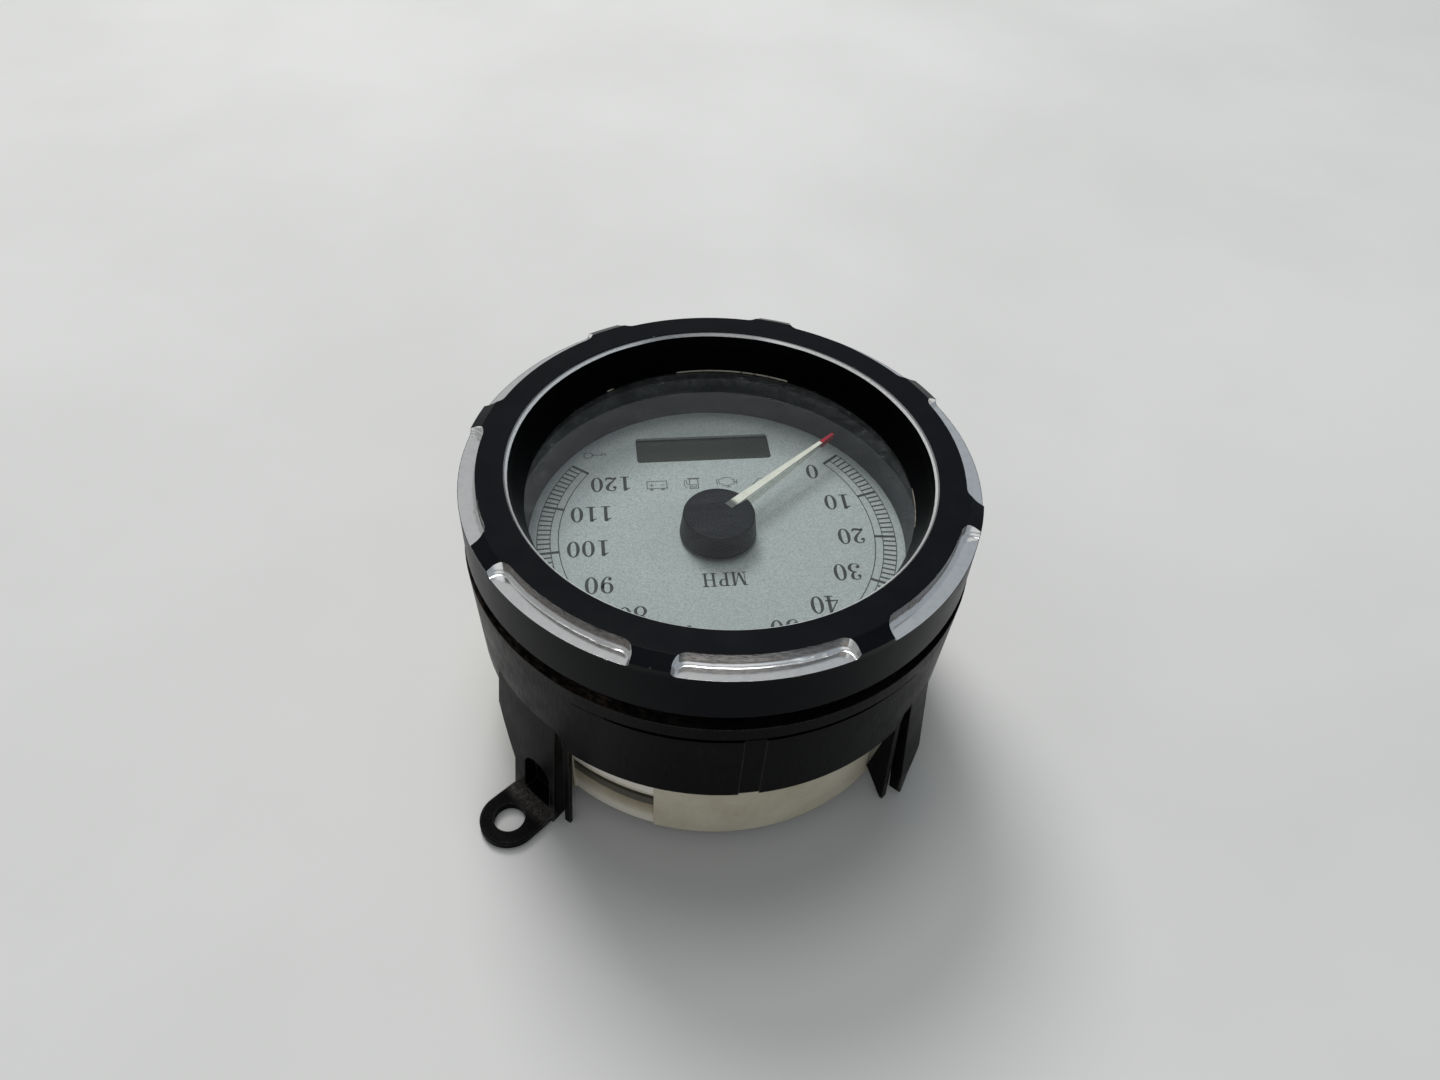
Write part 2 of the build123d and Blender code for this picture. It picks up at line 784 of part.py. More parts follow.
with BuildPart() as light_housing:
    with BuildSketch(Plane.XY.offset(display_top)):
        ring(housing_bore, inner_radius)
        web_length = housing_bore - well_radius + 2 * cell_wall
        for web_turn in web_turns:
            web_angle = led_ring_start + web_turn * led_pitch
            with PolarLocations((housing_bore + well_radius) / 2, 1, start_angle=web_angle):
                Rectangle(web_length, cell_wall)
        Circle(well_radius)
        with Locations((window_x, window_y)):
            Rectangle(cell_length + 2 * cell_wall, cell_width + 2 * cell_wall)
        with Locations((0, (telltale_upper + cell_top_y) / 2)):
            Rectangle(telltale_row + 2 * cell_wall, telltale_upper - cell_top_y + cell_wall)
        with Locations((window_x, (cell_low_y - housing_bore - cell_wall) / 2)):
            Rectangle(cell_wall, cell_low_y + housing_bore + cell_wall)
        with Locations((key_x, key_y)):
            Circle(key_well_radius)
        with Locations(((key_link_start + key_x) / 2, key_y)):
            Rectangle(key_x - key_link_start, cell_wall)
        Circle(well_radius - cell_wall, mode=Mode.SUBTRACT)
        with Locations((window_x, window_y)):
            Rectangle(cell_length, cell_width, mode=Mode.SUBTRACT)
        with Locations((0, telltale_y)):
            with GridLocations(telltale_pitch, 0, telltale_count, 1):
                Rectangle(telltale_width, telltale_depth, mode=Mode.SUBTRACT)
        with Locations((key_x, key_y)):
            Circle(key_well_radius - cell_wall, mode=Mode.SUBTRACT)
    extrude(amount=housing_height)
    with BuildSketch(Plane.XY.offset(dial_underside)):
        with PolarLocations(peg_place, 2):
            Circle(peg_radius)
    extrude(amount=dial_t - fit_gap)

finish(light_housing.part, "light_housing")

# ---------------------------------------------------------------- display

with BuildPart() as lcd_glass:
    with BuildSketch(Plane.XY.offset(lcd_z)):
        with Locations((window_x, window_y)):
            Rectangle(lcd_length, lcd_width)
    extrude(amount=lcd_t)

finish(lcd_glass.part, "lcd_glass")

with BuildPart() as lcd_frame:
    with BuildSketch(Plane.XY.offset(display_top)):
        with Locations((window_x, window_y)):
            Rectangle(frame_length, frame_width)
            Rectangle(guide_length + 4 * fit_gap, lcd_width + 2 * fit_gap, mode=Mode.SUBTRACT)
    extrude(amount=lcd_z + lcd_t - display_top)
    with BuildSketch(Plane.XY.offset(lcd_z)):
        with Locations((window_x, window_y)):
            Rectangle(lcd_length + 2 * fit_gap, lcd_width + 2 * fit_gap)
    extrude(amount=lcd_t, mode=Mode.SUBTRACT)

finish(lcd_frame.part, "lcd_frame")

guide_z = display_top + led_height + assembly_gap

with BuildPart() as lcd_light_guide:
    with BuildSketch(Plane.XY.offset(guide_z)):
        with Locations((window_x, window_y)):
            Rectangle(guide_length, guide_width)
    extrude(amount=lcd_z - fit_gap - guide_z)

finish(lcd_light_guide.part, "lcd_light_guide")

with BuildPart() as zebra_strips:
    with BuildSketch(Plane.XY.offset(display_top)):
        with Locations((window_x, window_y)):
            with GridLocations(0, 2 * zebra_offset, 1, 2):
                Rectangle(guide_length, zebra_width)
    extrude(amount=lcd_z - display_top)

finish(zebra_strips.part, "zebra_strips")

# ---------------------------------------------------------------- upper board and its lamps

with BuildPart() as display_board:
    with BuildSketch(Plane.XY.offset(display_board_z)):
        Circle(board_radius)
        Circle(shaft_hole_radius, mode=Mode.SUBTRACT)
        with GridLocations(2 * pillar_x, 2 * pillar_y, 2, 2):
            Circle(stud_radius + fit_gap, mode=Mode.SUBTRACT)
        with Locations((0, link_y)):
            with GridLocations(link_pitch, 0, link_pins, 1):
                Circle(link_pin, mode=Mode.SUBTRACT)
    extrude(amount=board_t)

finish(display_board.part, "display_board")

with BuildPart() as led_package:
    with BuildSketch(Plane.XY):
        Rectangle(led_length, led_width)
    extrude(amount=led_height)
    with BuildSketch(Plane.XY.offset(led_height)):
        Circle(led_width / 2 - assembly_gap)
    extrude(amount=-led_height / 3, taper=20, mode=Mode.SUBTRACT)

with BuildPart() as dial_leds:
    for led_index in range(led_ring_count):
        led_x, led_y = polar(led_ring_radius, led_ring_start + led_index * led_pitch)
        with Locations((led_x, led_y, display_top)):
            add(led_package.part)
    with Locations((0, 0, display_top)):
        with PolarLocations(pointer_led_radius, 4, start_angle=45):
            add(led_package.part)

finish(dial_leds.part, "dial_leds")

with BuildPart() as telltale_leds:
    with Locations((0, telltale_y, display_top)):
        with GridLocations(telltale_pitch, 0, telltale_count, 1):
            add(led_package.part)
    with Locations((key_x, key_y, display_top)):
        add(led_package.part)
    with Locations((window_x, window_y, display_top)):
        with GridLocations(2 * guide_led_x, 0, 2, 1):
            add(led_package.part)

finish(telltale_leds.part, "telltale_leds")

with BuildPart() as display_screws:
    with BuildSketch(Plane.XY.offset(display_top)):
        with GridLocations(2 * pillar_x, 2 * pillar_y, 2, 2):
            Circle(screw_head_radius)
    extrude(amount=screw_head_height)
    fillet(display_screws.edges().group_by(Axis.Z)[-1], screw_head_height / 2)
    with BuildSketch(Plane.XY.offset(display_top)):
        with GridLocations(2 * pillar_x, 2 * pillar_y, 2, 2):
            Circle(stud_radius - running_gap)
    extrude(amount=-screw_length)
    with BuildSketch(Plane.XY.offset(display_top + screw_head_height)):
        with GridLocations(2 * pillar_x, 2 * pillar_y, 2, 2):
            Rectangle(screw_head_radius, screw_head_radius / 4)
            Rectangle(screw_head_radius / 4, screw_head_radius)
    extrude(amount=-screw_head_height / 2, mode=Mode.SUBTRACT)

finish(display_screws.part, "display_screws")

with BuildPart() as board_spacers:
    with BuildSketch(Plane.XY.offset(main_top)):
        with GridLocations(2 * pillar_x, 2 * pillar_y, 2, 2):
            RegularPolygon(spacer_flats / 2, 6, major_radius=False)
    extrude(amount=spacer_height)
    with BuildSketch(Plane.XY.offset(main_top)):
        with GridLocations(2 * pillar_x, 2 * pillar_y, 2, 2):
            Circle(stud_radius)
    extrude(amount=-(board_t + stud_length))
    with BuildSketch(Plane.XY.offset(display_board_z)):
        with GridLocations(2 * pillar_x, 2 * pillar_y, 2, 2):
            Circle(stud_radius)
    extrude(amount=-(screw_length + pilot_extra), mode=Mode.SUBTRACT)

finish(board_spacers.part, "board_spacers")

# ---------------------------------------------------------------- lower board and its parts

with BuildPart() as main_board:
    with BuildSketch(Plane.XY.offset(main_board_z)):
        Circle(board_radius)
        with GridLocations(2 * pillar_x, 2 * pillar_y, 2, 2):
            Circle(stud_radius + fit_gap, mode=Mode.SUBTRACT)
        with Locations((0, link_y)):
            with GridLocations(link_pitch, 0, link_pins, 1):
                Circle(link_pin, mode=Mode.SUBTRACT)
        with Locations((0, header_y)):
            with GridLocations(contact_pitch, contact_row_pitch, contact_columns, contact_rows):
                Circle(contact_size, mode=Mode.SUBTRACT)
        with GridLocations(2 * terminal_place, 2 * terminal_place, 2, 2):
            Circle(terminal_radius + fit_gap, mode=Mode.SUBTRACT)
        with PolarLocations(can_radius - can_t / 2, 2):
            Rectangle(can_t + 2 * fit_gap, can_tab_width + 2 * fit_gap, mode=Mode.SUBTRACT)
    extrude(amount=board_t)

finish(main_board.part, "main_board")

with BuildPart() as board_link_header:
    with BuildSketch(Plane.XY.offset(main_top)):
        with Locations((0, link_y)):
            Rectangle(link_pins * link_pitch, link_body)
            with GridLocations(link_pitch, 0, link_pins, 1):
                Rectangle(link_pin, link_pin, mode=Mode.SUBTRACT)
    extrude(amount=link_body)

finish(board_link_header.part, "board_link_header")

with BuildPart() as board_link_pins:
    with BuildSketch(Plane.XY.offset(main_board_z - terminal_tail)):
        with Locations((0, link_y)):
            with GridLocations(link_pitch, 0, link_pins, 1):
                Rectangle(link_pin, link_pin)
    extrude(amount=display_top + terminal_tail - (main_board_z - terminal_tail))

finish(board_link_pins.part, "board_link_pins")

with BuildPart() as gull_lead:
    with BuildSketch(Plane.XZ):
        Polygon(
            (-lead_t, lead_rise),
            (lead_reach / 3 + lead_t / 2, lead_rise),
            (lead_reach / 2 + lead_t / 2, lead_t),
            (lead_reach, lead_t),
            (lead_reach, 0),
            (lead_reach / 2 - lead_t / 2, 0),
            (lead_reach / 3 - lead_t / 2, lead_rise - lead_t),
            (-lead_t, lead_rise - lead_t),
        )
    extrude(amount=lead_width / 2, both=True)

with BuildPart() as microcontroller:
    with BuildSketch(Plane.XY.offset(main_top + chip_gap)):
        with Locations((qfp_x, 0)):
            Rectangle(qfp_size, qfp_size)
    extrude(amount=chip_t)
    chamfer(microcontroller.edges().group_by(Axis.Z)[-1], chip_gap)
    with Locations((qfp_x, 0, main_top)):
        for quarter in range(4):
            for lead_index in range(qfp_leads):
                lead_y = (lead_index - (qfp_leads - 1) / 2) * qfp_pitch
                with PolarLocations(0, 1, start_angle=90 * quarter):
                    with Locations((qfp_size / 2, lead_y)):
                        add(gull_lead.part)

finish(microcontroller.part, "microcontroller")

with BuildPart() as driver_chips:
    with BuildSketch(Plane.XY.offset(main_top + chip_gap)):
        with Locations((soic_x, 0)):
            with GridLocations(0, 2 * soic_y, 1, 2):
                Rectangle(soic_length, soic_width)
    extrude(amount=chip_t)
    chamfer(driver_chips.edges().group_by(Axis.Z)[-1], chip_gap)
    with Locations((soic_x, 0, main_top)):
        with GridLocations(0, 2 * soic_y, 1, 2):
            for quarter in (1, 3):
                for lead_index in range(soic_leads):
                    lead_y = (lead_index - (soic_leads - 1) / 2) * soic_pitch
                    with PolarLocations(0, 1, start_angle=90 * quarter):
                        with Locations((soic_width / 2, lead_y)):
                            add(gull_lead.part)

finish(driver_chips.part, "driver_chips")

with BuildPart() as board_capacitors:
    with BuildSketch(Plane.XY.offset(main_top)):
        with Locations((0, capacitor_y)):
            with GridLocations(capacitor_pitch, 0, 3, 1):
                Circle(capacitor_radius)
    extrude(amount=capacitor_height)
    fillet(board_capacitors.edges().group_by(Axis.Z)[-1], capacitor_radius / 8)

finish(board_capacitors.part, "board_capacitors")

with BuildPart() as voltage_regulator:
    with BuildSketch(Plane.XY.offset(main_top)):
        with Locations((regulator_x, regulator_y)):
            Rectangle(regulator_width, regulator_depth)
    extrude(amount=regulator_t)
    chamfer(voltage_regulator.edges().group_by(Axis.Z)[-1], chip_gap)
    with BuildSketch(Plane.XY.offset(main_top)):
        with Locations((regulator_x, regulator_y + regulator_depth / 2)):
            Rectangle(regulator_width - 2 * tab_t, 2 * tab_reach)
        with Locations((regulator_x, regulator_y - regulator_depth / 2)):
            with GridLocations(regulator_width - 2 * tab_t, 0, 2, 1):
                Rectangle(2 * tab_t, 2 * tab_reach)
    extrude(amount=tab_t)

finish(voltage_regulator.part, "voltage_regulator")

# ---------------------------------------------------------------- connector and vent in the floor

mouth_z = case_lift - header_below
socket_roof = mouth_z + socket_depth
header_flange_z = floor_top + seal_t
socket_length = header_length - 2 * header_wall
socket_width = header_width - 2 * header_wall

with BuildPart() as connector_header:
    with BuildSketch(Plane.XY.offset(mouth_z)):
        with Locations((0, header_y)):
            RectangleRounded(header_length, header_width, header_corner)
    extrude(amount=main_board_z - mouth_z)
    with BuildSketch(Plane.XY.offset(header_flange_z)):
        with Locations((0, header_y)):
            RectangleRounded(
                header_length + 2 * flange_margin,
                header_width + 2 * flange_margin,
                header_corner + flange_margin,
            )
    extrude(amount=header_flange_t)
    with BuildSketch(Plane.XY.offset(mouth_z)):
        with Locations((0, header_y)):
            Rectangle(socket_length, socket_width)
        with Locations((0, header_y + socket_width / 2)):
            with GridLocations(socket_length / 2, 0, 2, 1):
                Rectangle(socket_key, 2 * socket_key, mode=Mode.SUBTRACT)
    extrude(amount=socket_depth, mode=Mode.SUBTRACT)
    with BuildSketch(Plane.XY.offset(socket_roof)):
        with Locations((0, header_y)):
            with GridLocations(contact_pitch, contact_row_pitch, contact_columns, contact_rows):
                Rectangle(contact_size, contact_size)
    extrude(amount=main_board_z - socket_roof, mode=Mode.SUBTRACT)

finish(connector_header.part, "connector_header")

with BuildPart() as connector_pins:
    with BuildSketch(Plane.XY.offset(socket_roof - contact_length)):
        with Locations((0, header_y)):
            with GridLocations(contact_pitch, contact_row_pitch, contact_columns, contact_rows):
                Rectangle(contact_size, contact_size)
    extrude(amount=main_top + contact_tail - (socket_roof - contact_length))

finish(connector_pins.part, "connector_pins")

with BuildPart() as connector_gasket:
    with BuildSketch(Plane.XY.offset(floor_top)):
        with Locations((0, header_y)):
            RectangleRounded(
                header_length + 2 * flange_margin,
                header_width + 2 * flange_margin,
                header_corner + flange_margin,
            )
            RectangleRounded(
                header_length + 2 * fit_gap,
                header_width + 2 * fit_gap,
                header_corner + fit_gap,
                mode=Mode.SUBTRACT,
            )
    extrude(amount=seal_t)

finish(connector_gasket.part, "connector_gasket")

with BuildPart() as vent_plug:
    with BuildSketch(Plane.XZ):
        Polygon(
            (0, case_lift - vent_flange_t),
            (vent_flange_radius, case_lift - vent_flange_t),
            (vent_flange_radius, case_lift),
            (vent_radius, case_lift),
            (vent_radius, floor_top),
            (vent_radius + vent_barb, floor_top),
            (vent_radius - vent_barb, floor_top + 2 * vent_flange_t),
            (0, floor_top + 2 * vent_flange_t),
        )
    revolve(axis=Axis.Z)

with BuildPart() as placed_vent:
    with Locations((vent_x, 0)):
        add(vent_plug.part)

finish(placed_vent.part, "vent_plug")

# ---------------------------------------------------------------- air-core movement

with BuildPart() as movement_can:
    with BuildSketch(Plane.XY.offset(main_top)):
        Circle(can_radius)
    extrude(amount=can_top - main_top)
    fillet(movement_can.edges().group_by(Axis.Z)[-1], can_t)
    with BuildSketch(Plane.XY.offset(main_top)):
        Circle(can_bore)
    extrude(amount=can_roof - main_top, mode=Mode.SUBTRACT)
    with BuildSketch(Plane.XY.offset(can_roof)):
        Circle(neck_radius + fit_gap)
    extrude(amount=can_t, mode=Mode.SUBTRACT)
    with BuildSketch(Plane.XY.offset(main_top)):
        with PolarLocations(can_radius - can_t / 2, 2):
            Rectangle(can_t / 2, can_tab_width)
    extrude(amount=-can_tab_length)

finish(movement_can.part, "movement_can")

with BuildPart() as bobbin_lower:
    with BuildSketch(Plane.XY.offset(main_top)):
        Circle(can_bore - assembly_gap)
        with GridLocations(2 * terminal_place, 2 * terminal_place, 2, 2):
            Circle(terminal_radius + running_gap, mode=Mode.SUBTRACT)
    extrude(amount=bobbin_base_t)
    with BuildSketch(Plane.XY.offset(base_top)):
        Circle(neck_radius)
    extrude(amount=core_base - base_top)
    with BuildSketch(Plane.XY.offset(core_base)):
        Circle(core_radius)
    extrude(amount=core_half_height)
    with BuildSketch(Plane.XY.offset(core_split)):
        Circle(cavity_radius)
    extrude(amount=-cavity_height / 2, mode=Mode.SUBTRACT)
    with BuildSketch(Plane.XY.offset(base_top)):
        Circle(shaft_radius + running_gap)
    extrude(amount=core_split - base_top, mode=Mode.SUBTRACT)

finish(bobbin_lower.part, "bobbin_lower")

finger_half_angle = degrees(asin(finger_width / 2 / stop_inner_radius))
stop_margin = finger_half_angle + degrees(running_gap / stop_inner_radius) * 2
stop_start = rest_angle + stop_margin
stop_end = rest_angle + 360 - sweep - stop_margin

with BuildPart() as bobbin_upper:
    with BuildSketch(Plane.XY.offset(core_split)):
        Circle(core_radius)
    extrude(amount=core_half_height)
    with BuildSketch(Plane.XY.offset(core_top)):
        Circle(neck_radius)
    extrude(amount=can_top - core_top)
    with BuildSketch(Plane.XY.offset(core_split)):
        Circle(cavity_radius)
    extrude(amount=cavity_height / 2, mode=Mode.SUBTRACT)
    with BuildSketch(Plane.XY.offset(cavity_high)):
        Circle(stop_radius)
    extrude(amount=stop_height, mode=Mode.SUBTRACT)
    with BuildSketch(Plane.XY.offset(cavity_high)):
        sector(stop_inner_radius, stop_radius + cell_wall, stop_start, stop_end)
    extrude(amount=stop_height)
    with BuildSketch(Plane.XY.offset(stop_top)):
        Circle(shaft_radius + fit_gap)
    extrude(amount=can_top - stop_top, mode=Mode.SUBTRACT)
    with BuildSketch(Plane.XY.offset(bush_z)):
        Circle(bush_radius + press_gap)
    extrude(amount=can_top - bush_z, mode=Mode.SUBTRACT)

finish(bobbin_upper.part, "bobbin_upper")

with BuildPart() as shaft_bush:
    with BuildSketch(Plane.XY.offset(bush_z)):
        ring(shaft_radius + running_gap, bush_radius)
    extrude(amount=bush_height)

finish(shaft_bush.part, "shaft_bush")

inner_coil_middle = (inner_coil_low + inner_coil_high) / 2
inner_coil_tall = inner_coil_high - inner_coil_low
outer_coil_middle = (outer_coil_low + outer_coil_high) / 2
outer_coil_tall = outer_coil_high - outer_coil_low

with BuildPart() as coil_inner:
    for coil_side in (-1, 1):
        coil_centre = coil_side * (coil_offset + coil_width / 2)
        with BuildSketch(Plane.XZ.offset(coil_centre)):
            with Locations((0, inner_coil_middle)):
                RectangleRounded(2 * (inner_coil_reach + coil_t), inner_coil_tall, coil_corner)
                Rectangle(2 * inner_coil_reach, inner_coil_tall - 2 * coil_t, mode=Mode.SUBTRACT)
        extrude(amount=coil_width / 2, both=True)

finish(coil_inner.part, "coil_inner")

with BuildPart() as coil_outer:
    for coil_side in (-1, 1):
        coil_centre = coil_side * (coil_offset + coil_width / 2)
        with BuildSketch(Plane.YZ.offset(coil_centre)):
            with Locations((0, outer_coil_middle)):
                RectangleRounded(2 * (outer_coil_reach + coil_t), outer_coil_tall, coil_corner)
                Rectangle(2 * outer_coil_reach, outer_coil_tall - 2 * coil_t, mode=Mode.SUBTRACT)
        extrude(amount=coil_width / 2, both=True)

finish(coil_outer.part, "coil_outer")

with BuildPart() as movement_terminals:
    with BuildSketch(Plane.XY.offset(main_board_z - terminal_tail)):
        with GridLocations(2 * terminal_place, 2 * terminal_place, 2, 2):
            Circle(terminal_radius)
    extrude(amount=board_t + 2 * terminal_tail + bobbin_base_t)

finish(movement_terminals.part, "movement_terminals")

# ---------------------------------------------------------------- pointer and what turns with it

with BuildPart() as rotor_magnet:
    with BuildSketch(Plane.XY.offset(core_split - rotor_t / 2)):
        Circle(rotor_radius)
    extrude(amount=rotor_t)
    with BuildSketch(Plane.XY.offset(core_split)):
        Circle(rotor_hub_radius)
    extrude(amount=cavity_height / 2 + assembly_gap + finger_t)
    with BuildSketch(plan_plane(rest_angle, cavity_high + assembly_gap)):
        with Locations((finger_length / 2, 0)):
            Rectangle(finger_length, finger_width)
    extrude(amount=finger_t)
    with BuildSketch(Plane.XY.offset(core_split - rotor_t / 2)):
        Circle(shaft_radius + press_gap)
    extrude(amount=rotor_t + cavity_height, mode=Mode.SUBTRACT)

finish(rotor_magnet.part, "rotor_magnet")

with BuildPart() as pointer_shaft:
    with BuildSketch(Plane.XY.offset(shaft_base)):
        Circle(shaft_radius)
    extrude(amount=shaft_top - shaft_base)
    chamfer(pointer_shaft.edges(), shaft_radius / 3)

finish(pointer_shaft.part, "pointer_shaft")

with BuildPart() as pointer_bushing:
    with BuildSketch(Plane.XY.offset(hub_base)):
        ring(shaft_radius + press_gap, bushing_radius)
    extrude(amount=bushing_height)

finish(pointer_bushing.part, "pointer_bushing")

with BuildPart() as pointer_blade:
    with BuildSketch(radial_plane(rest_angle)):
        Polygon(
            (pointer_root, pointer_top),
            (pointer_length, pointer_top),
            (pointer_length, pointer_top - pointer_tip_depth),
            (cap_radius, pointer_top - pointer_root_depth),
            (pointer_root, pointer_top - pointer_root_depth),
        )
    extrude(amount=pointer_root_width, both=True)
    with BuildSketch(plan_plane(rest_angle, pointer_top)):
        Polygon(
            (pointer_root, -pointer_root_width / 2),
            (pointer_length, -pointer_tip_width / 2),
            (pointer_length, pointer_tip_width / 2),
            (pointer_root, pointer_root_width / 2),
        )
    extrude(amount=-pointer_root_depth, mode=Mode.INTERSECT)
    with BuildSketch(Plane.XY.offset(hub_base)):
        Circle(hub_radius)
    extrude(amount=hub_height)
    with BuildSketch(Plane.XY.offset(hub_base)):
        Circle(bushing_radius + press_gap)
    extrude(amount=bushing_height, mode=Mode.SUBTRACT)

finish(pointer_blade.part, "pointer_blade")

with BuildPart() as pointer_hub_cap:
    with BuildSketch(Plane.XZ):
        Polygon(
            (0, cap_top),
            (cap_top_radius, cap_top),
            (cap_radius, cap_base),
            (cap_bore, cap_base),
            (cap_bore, cap_roof),
            (0, cap_roof),
        )
    revolve(axis=Axis.Z)
    fillet(pointer_hub_cap.edges().group_by(Axis.Z)[-1], cap_edge)
    notch_start = pointer_root - fit_gap
    with BuildSketch(plan_plane(rest_angle, cap_top)):
        with Locations(((notch_start + 2 * cap_radius) / 2, 0)):
            Rectangle(2 * cap_radius - notch_start, pointer_root_width + 2 * fit_gap)
    extrude(amount=-(cap_top - pointer_top + pointer_root_depth + fit_gap), mode=Mode.SUBTRACT)

finish(pointer_hub_cap.part, "pointer_hub_cap")
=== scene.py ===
"""Looks of the round instrument cluster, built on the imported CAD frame."""
import math

import bmesh
import bpy
from mathutils import Matrix, Vector


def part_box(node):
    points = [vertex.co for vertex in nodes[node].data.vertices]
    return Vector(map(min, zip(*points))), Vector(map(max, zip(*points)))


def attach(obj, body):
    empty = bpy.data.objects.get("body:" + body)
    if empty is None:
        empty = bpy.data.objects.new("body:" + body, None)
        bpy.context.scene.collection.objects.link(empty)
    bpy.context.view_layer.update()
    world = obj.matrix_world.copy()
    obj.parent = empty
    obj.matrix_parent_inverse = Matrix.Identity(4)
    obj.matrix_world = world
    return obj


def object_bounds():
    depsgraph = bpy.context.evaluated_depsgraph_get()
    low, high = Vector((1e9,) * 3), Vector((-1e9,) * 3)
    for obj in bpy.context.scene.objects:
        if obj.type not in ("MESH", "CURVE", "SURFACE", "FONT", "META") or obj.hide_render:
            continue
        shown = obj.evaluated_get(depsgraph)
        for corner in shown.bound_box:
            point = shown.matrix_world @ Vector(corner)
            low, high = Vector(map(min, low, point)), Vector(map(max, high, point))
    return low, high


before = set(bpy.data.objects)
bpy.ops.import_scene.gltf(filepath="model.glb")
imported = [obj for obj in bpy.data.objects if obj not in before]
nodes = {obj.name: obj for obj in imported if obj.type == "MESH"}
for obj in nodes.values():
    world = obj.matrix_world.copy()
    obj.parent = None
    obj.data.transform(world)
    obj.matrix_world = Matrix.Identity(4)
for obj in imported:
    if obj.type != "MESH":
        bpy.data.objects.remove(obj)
cad_low, cad_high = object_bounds()
MM = 0.001


# ---------------------------------------------------------------- node helpers
class NodeTree:
    """The node tree of a material or world, with one short call for each kind of node."""

    def __init__(self, owner, coordinates):
        owner.use_nodes = True
        self.tree = owner.node_tree
        self.place = self.add("ShaderNodeTexCoord").outputs[coordinates]

    def add(self, kind, **settings):
        node = self.tree.nodes.new(kind)
        for name, value in settings.items():
            setattr(node, name, value)
        return node

    def link(self, a, b):
        self.tree.links.new(a, b)

    def feed(self, socket, value):
        if isinstance(value, (int, float, tuple)):
            socket.default_value = value
        else:
            self.link(value, socket)

    def mapped(self, scale):
        node = self.add("ShaderNodeMapping")
        self.link(self.place, node.inputs["Vector"])
        node.inputs["Scale"].default_value = scale
        return node.outputs["Vector"]

    def split(self, vector=None):
        node = self.add("ShaderNodeSeparateXYZ")
        self.link(vector or self.place, node.inputs[0])
        return node.outputs

    def join(self, x, y, z):
        node = self.add("ShaderNodeCombineXYZ")
        for socket, value in zip(node.inputs, (x, y, z)):
            self.feed(socket, value)
        return node.outputs[0]

    def noise(self, size, detail=4.0, rough=0.55, vector=None, shift=0.0, distort=0.0):
        node = self.add("ShaderNodeTexNoise", noise_dimensions="4D")
        self.link(vector or self.place, node.inputs["Vector"])
        node.inputs["Scale"].default_value = 1.0 / size
        node.inputs["Detail"].default_value = detail
        node.inputs["Roughness"].default_value = rough
        node.inputs["W"].default_value = shift
        node.inputs["Distortion"].default_value = distort
        return node.outputs["Fac"]

    def cells(self, size):
        """Distance to the nearest of many scattered points."""
        node = self.add("ShaderNodeTexVoronoi")
        self.link(self.place, node.inputs["Vector"])
        node.inputs["Scale"].default_value = 1.0 / size
        return node.outputs["Distance"]

    def math(self, operation, a, b=0.0):
        node = self.add("ShaderNodeMath", operation=operation)
        self.feed(node.inputs[0], a)
        self.feed(node.inputs[1], b)
        return node.outputs[0]

    def times(self, first, *others):
        for other in others:
            first = self.math("MULTIPLY", first, other)
        return first

    def plus(self, a, b):
        return self.math("ADD", a, b)

    def minus(self, a, b):
        return self.math("SUBTRACT", a, b)

    def without(self, mask):
        """The rest of a mask."""
        return self.minus(1.0, mask)

    def most(self, a, b):
        return self.math("MAXIMUM", a, b)

    def above(self, a, b):
        return self.math("GREATER_THAN", a, b)

    def below(self, a, b):
        return self.math("LESS_THAN", a, b)

    def apart(self, a, b):
        """How far a is from b, either way."""
        return self.math("ABSOLUTE", self.minus(a, b))

    def span(self, value, low, high, to_low=0.0, to_high=1.0, curve="SMOOTHSTEP"):
        """to_low where the value is at low, rising to to_high where it is at high, and no further."""
        node = self.add("ShaderNodeMapRange", interpolation_type=curve)
        self.link(value, node.inputs["Value"])
        for name, limit in (("From Min", low), ("From Max", high), ("To Min", to_low), ("To Max", to_high)):
            node.inputs[name].default_value = limit
        return node.outputs["Result"]

    def mix(self, factor, a, b):
        node = self.add("ShaderNodeMix", data_type="RGBA")
        self.feed(node.inputs["Factor"], factor)
        for socket, value in ((node.inputs[6], a), (node.inputs[7], b)):
            self.feed(socket, (*value, 1.0) if isinstance(value, tuple) else value)
        return node.outputs[2]

    def radius(self):
        x, y, _ = self.split()
        return self.math("SQRT", self.plus(self.times(x, x), self.times(y, y)))

    def angle(self):
        x, y, _ = self.split()
        return self.math("ARCTAN2", y, x)

    def bump(self, height, distance, strength, normal=None):
        node = self.add("ShaderNodeBump")
        self.link(height, node.inputs["Height"])
        node.inputs["Distance"].default_value = distance
        node.inputs["Strength"].default_value = strength
        if normal is not None:
            self.link(normal, node.inputs["Normal"])
        return node.outputs["Normal"]

    def rounded(self, radius, samples=4):
        node = self.add("ShaderNodeBevel", samples=samples)
        node.inputs["Radius"].default_value = radius
        return node.outputs["Normal"]

    def edges(self, radius, low, high):
        """1 along sharp edges, 0 on faces."""
        dot = self.add("ShaderNodeVectorMath", operation="DOT_PRODUCT")
        self.link(self.rounded(radius, samples=6), dot.inputs[0])
        self.link(self.add("ShaderNodeNewGeometry").outputs["Normal"], dot.inputs[1])
        return self.span(dot.outputs["Value"], high, low)

    def blend(self, factor, a, b):
        """Mix two shaders."""
        node = self.add("ShaderNodeMixShader")
        for socket, value in zip(node.inputs, (factor, a, b)):
            self.link(value, socket)
        return node.outputs[0]

    def plain(self, kind, colour):
        """A simple shader of one colour."""
        node = self.add(kind)
        node.inputs["Color"].default_value = (*colour, 1.0)
        return node


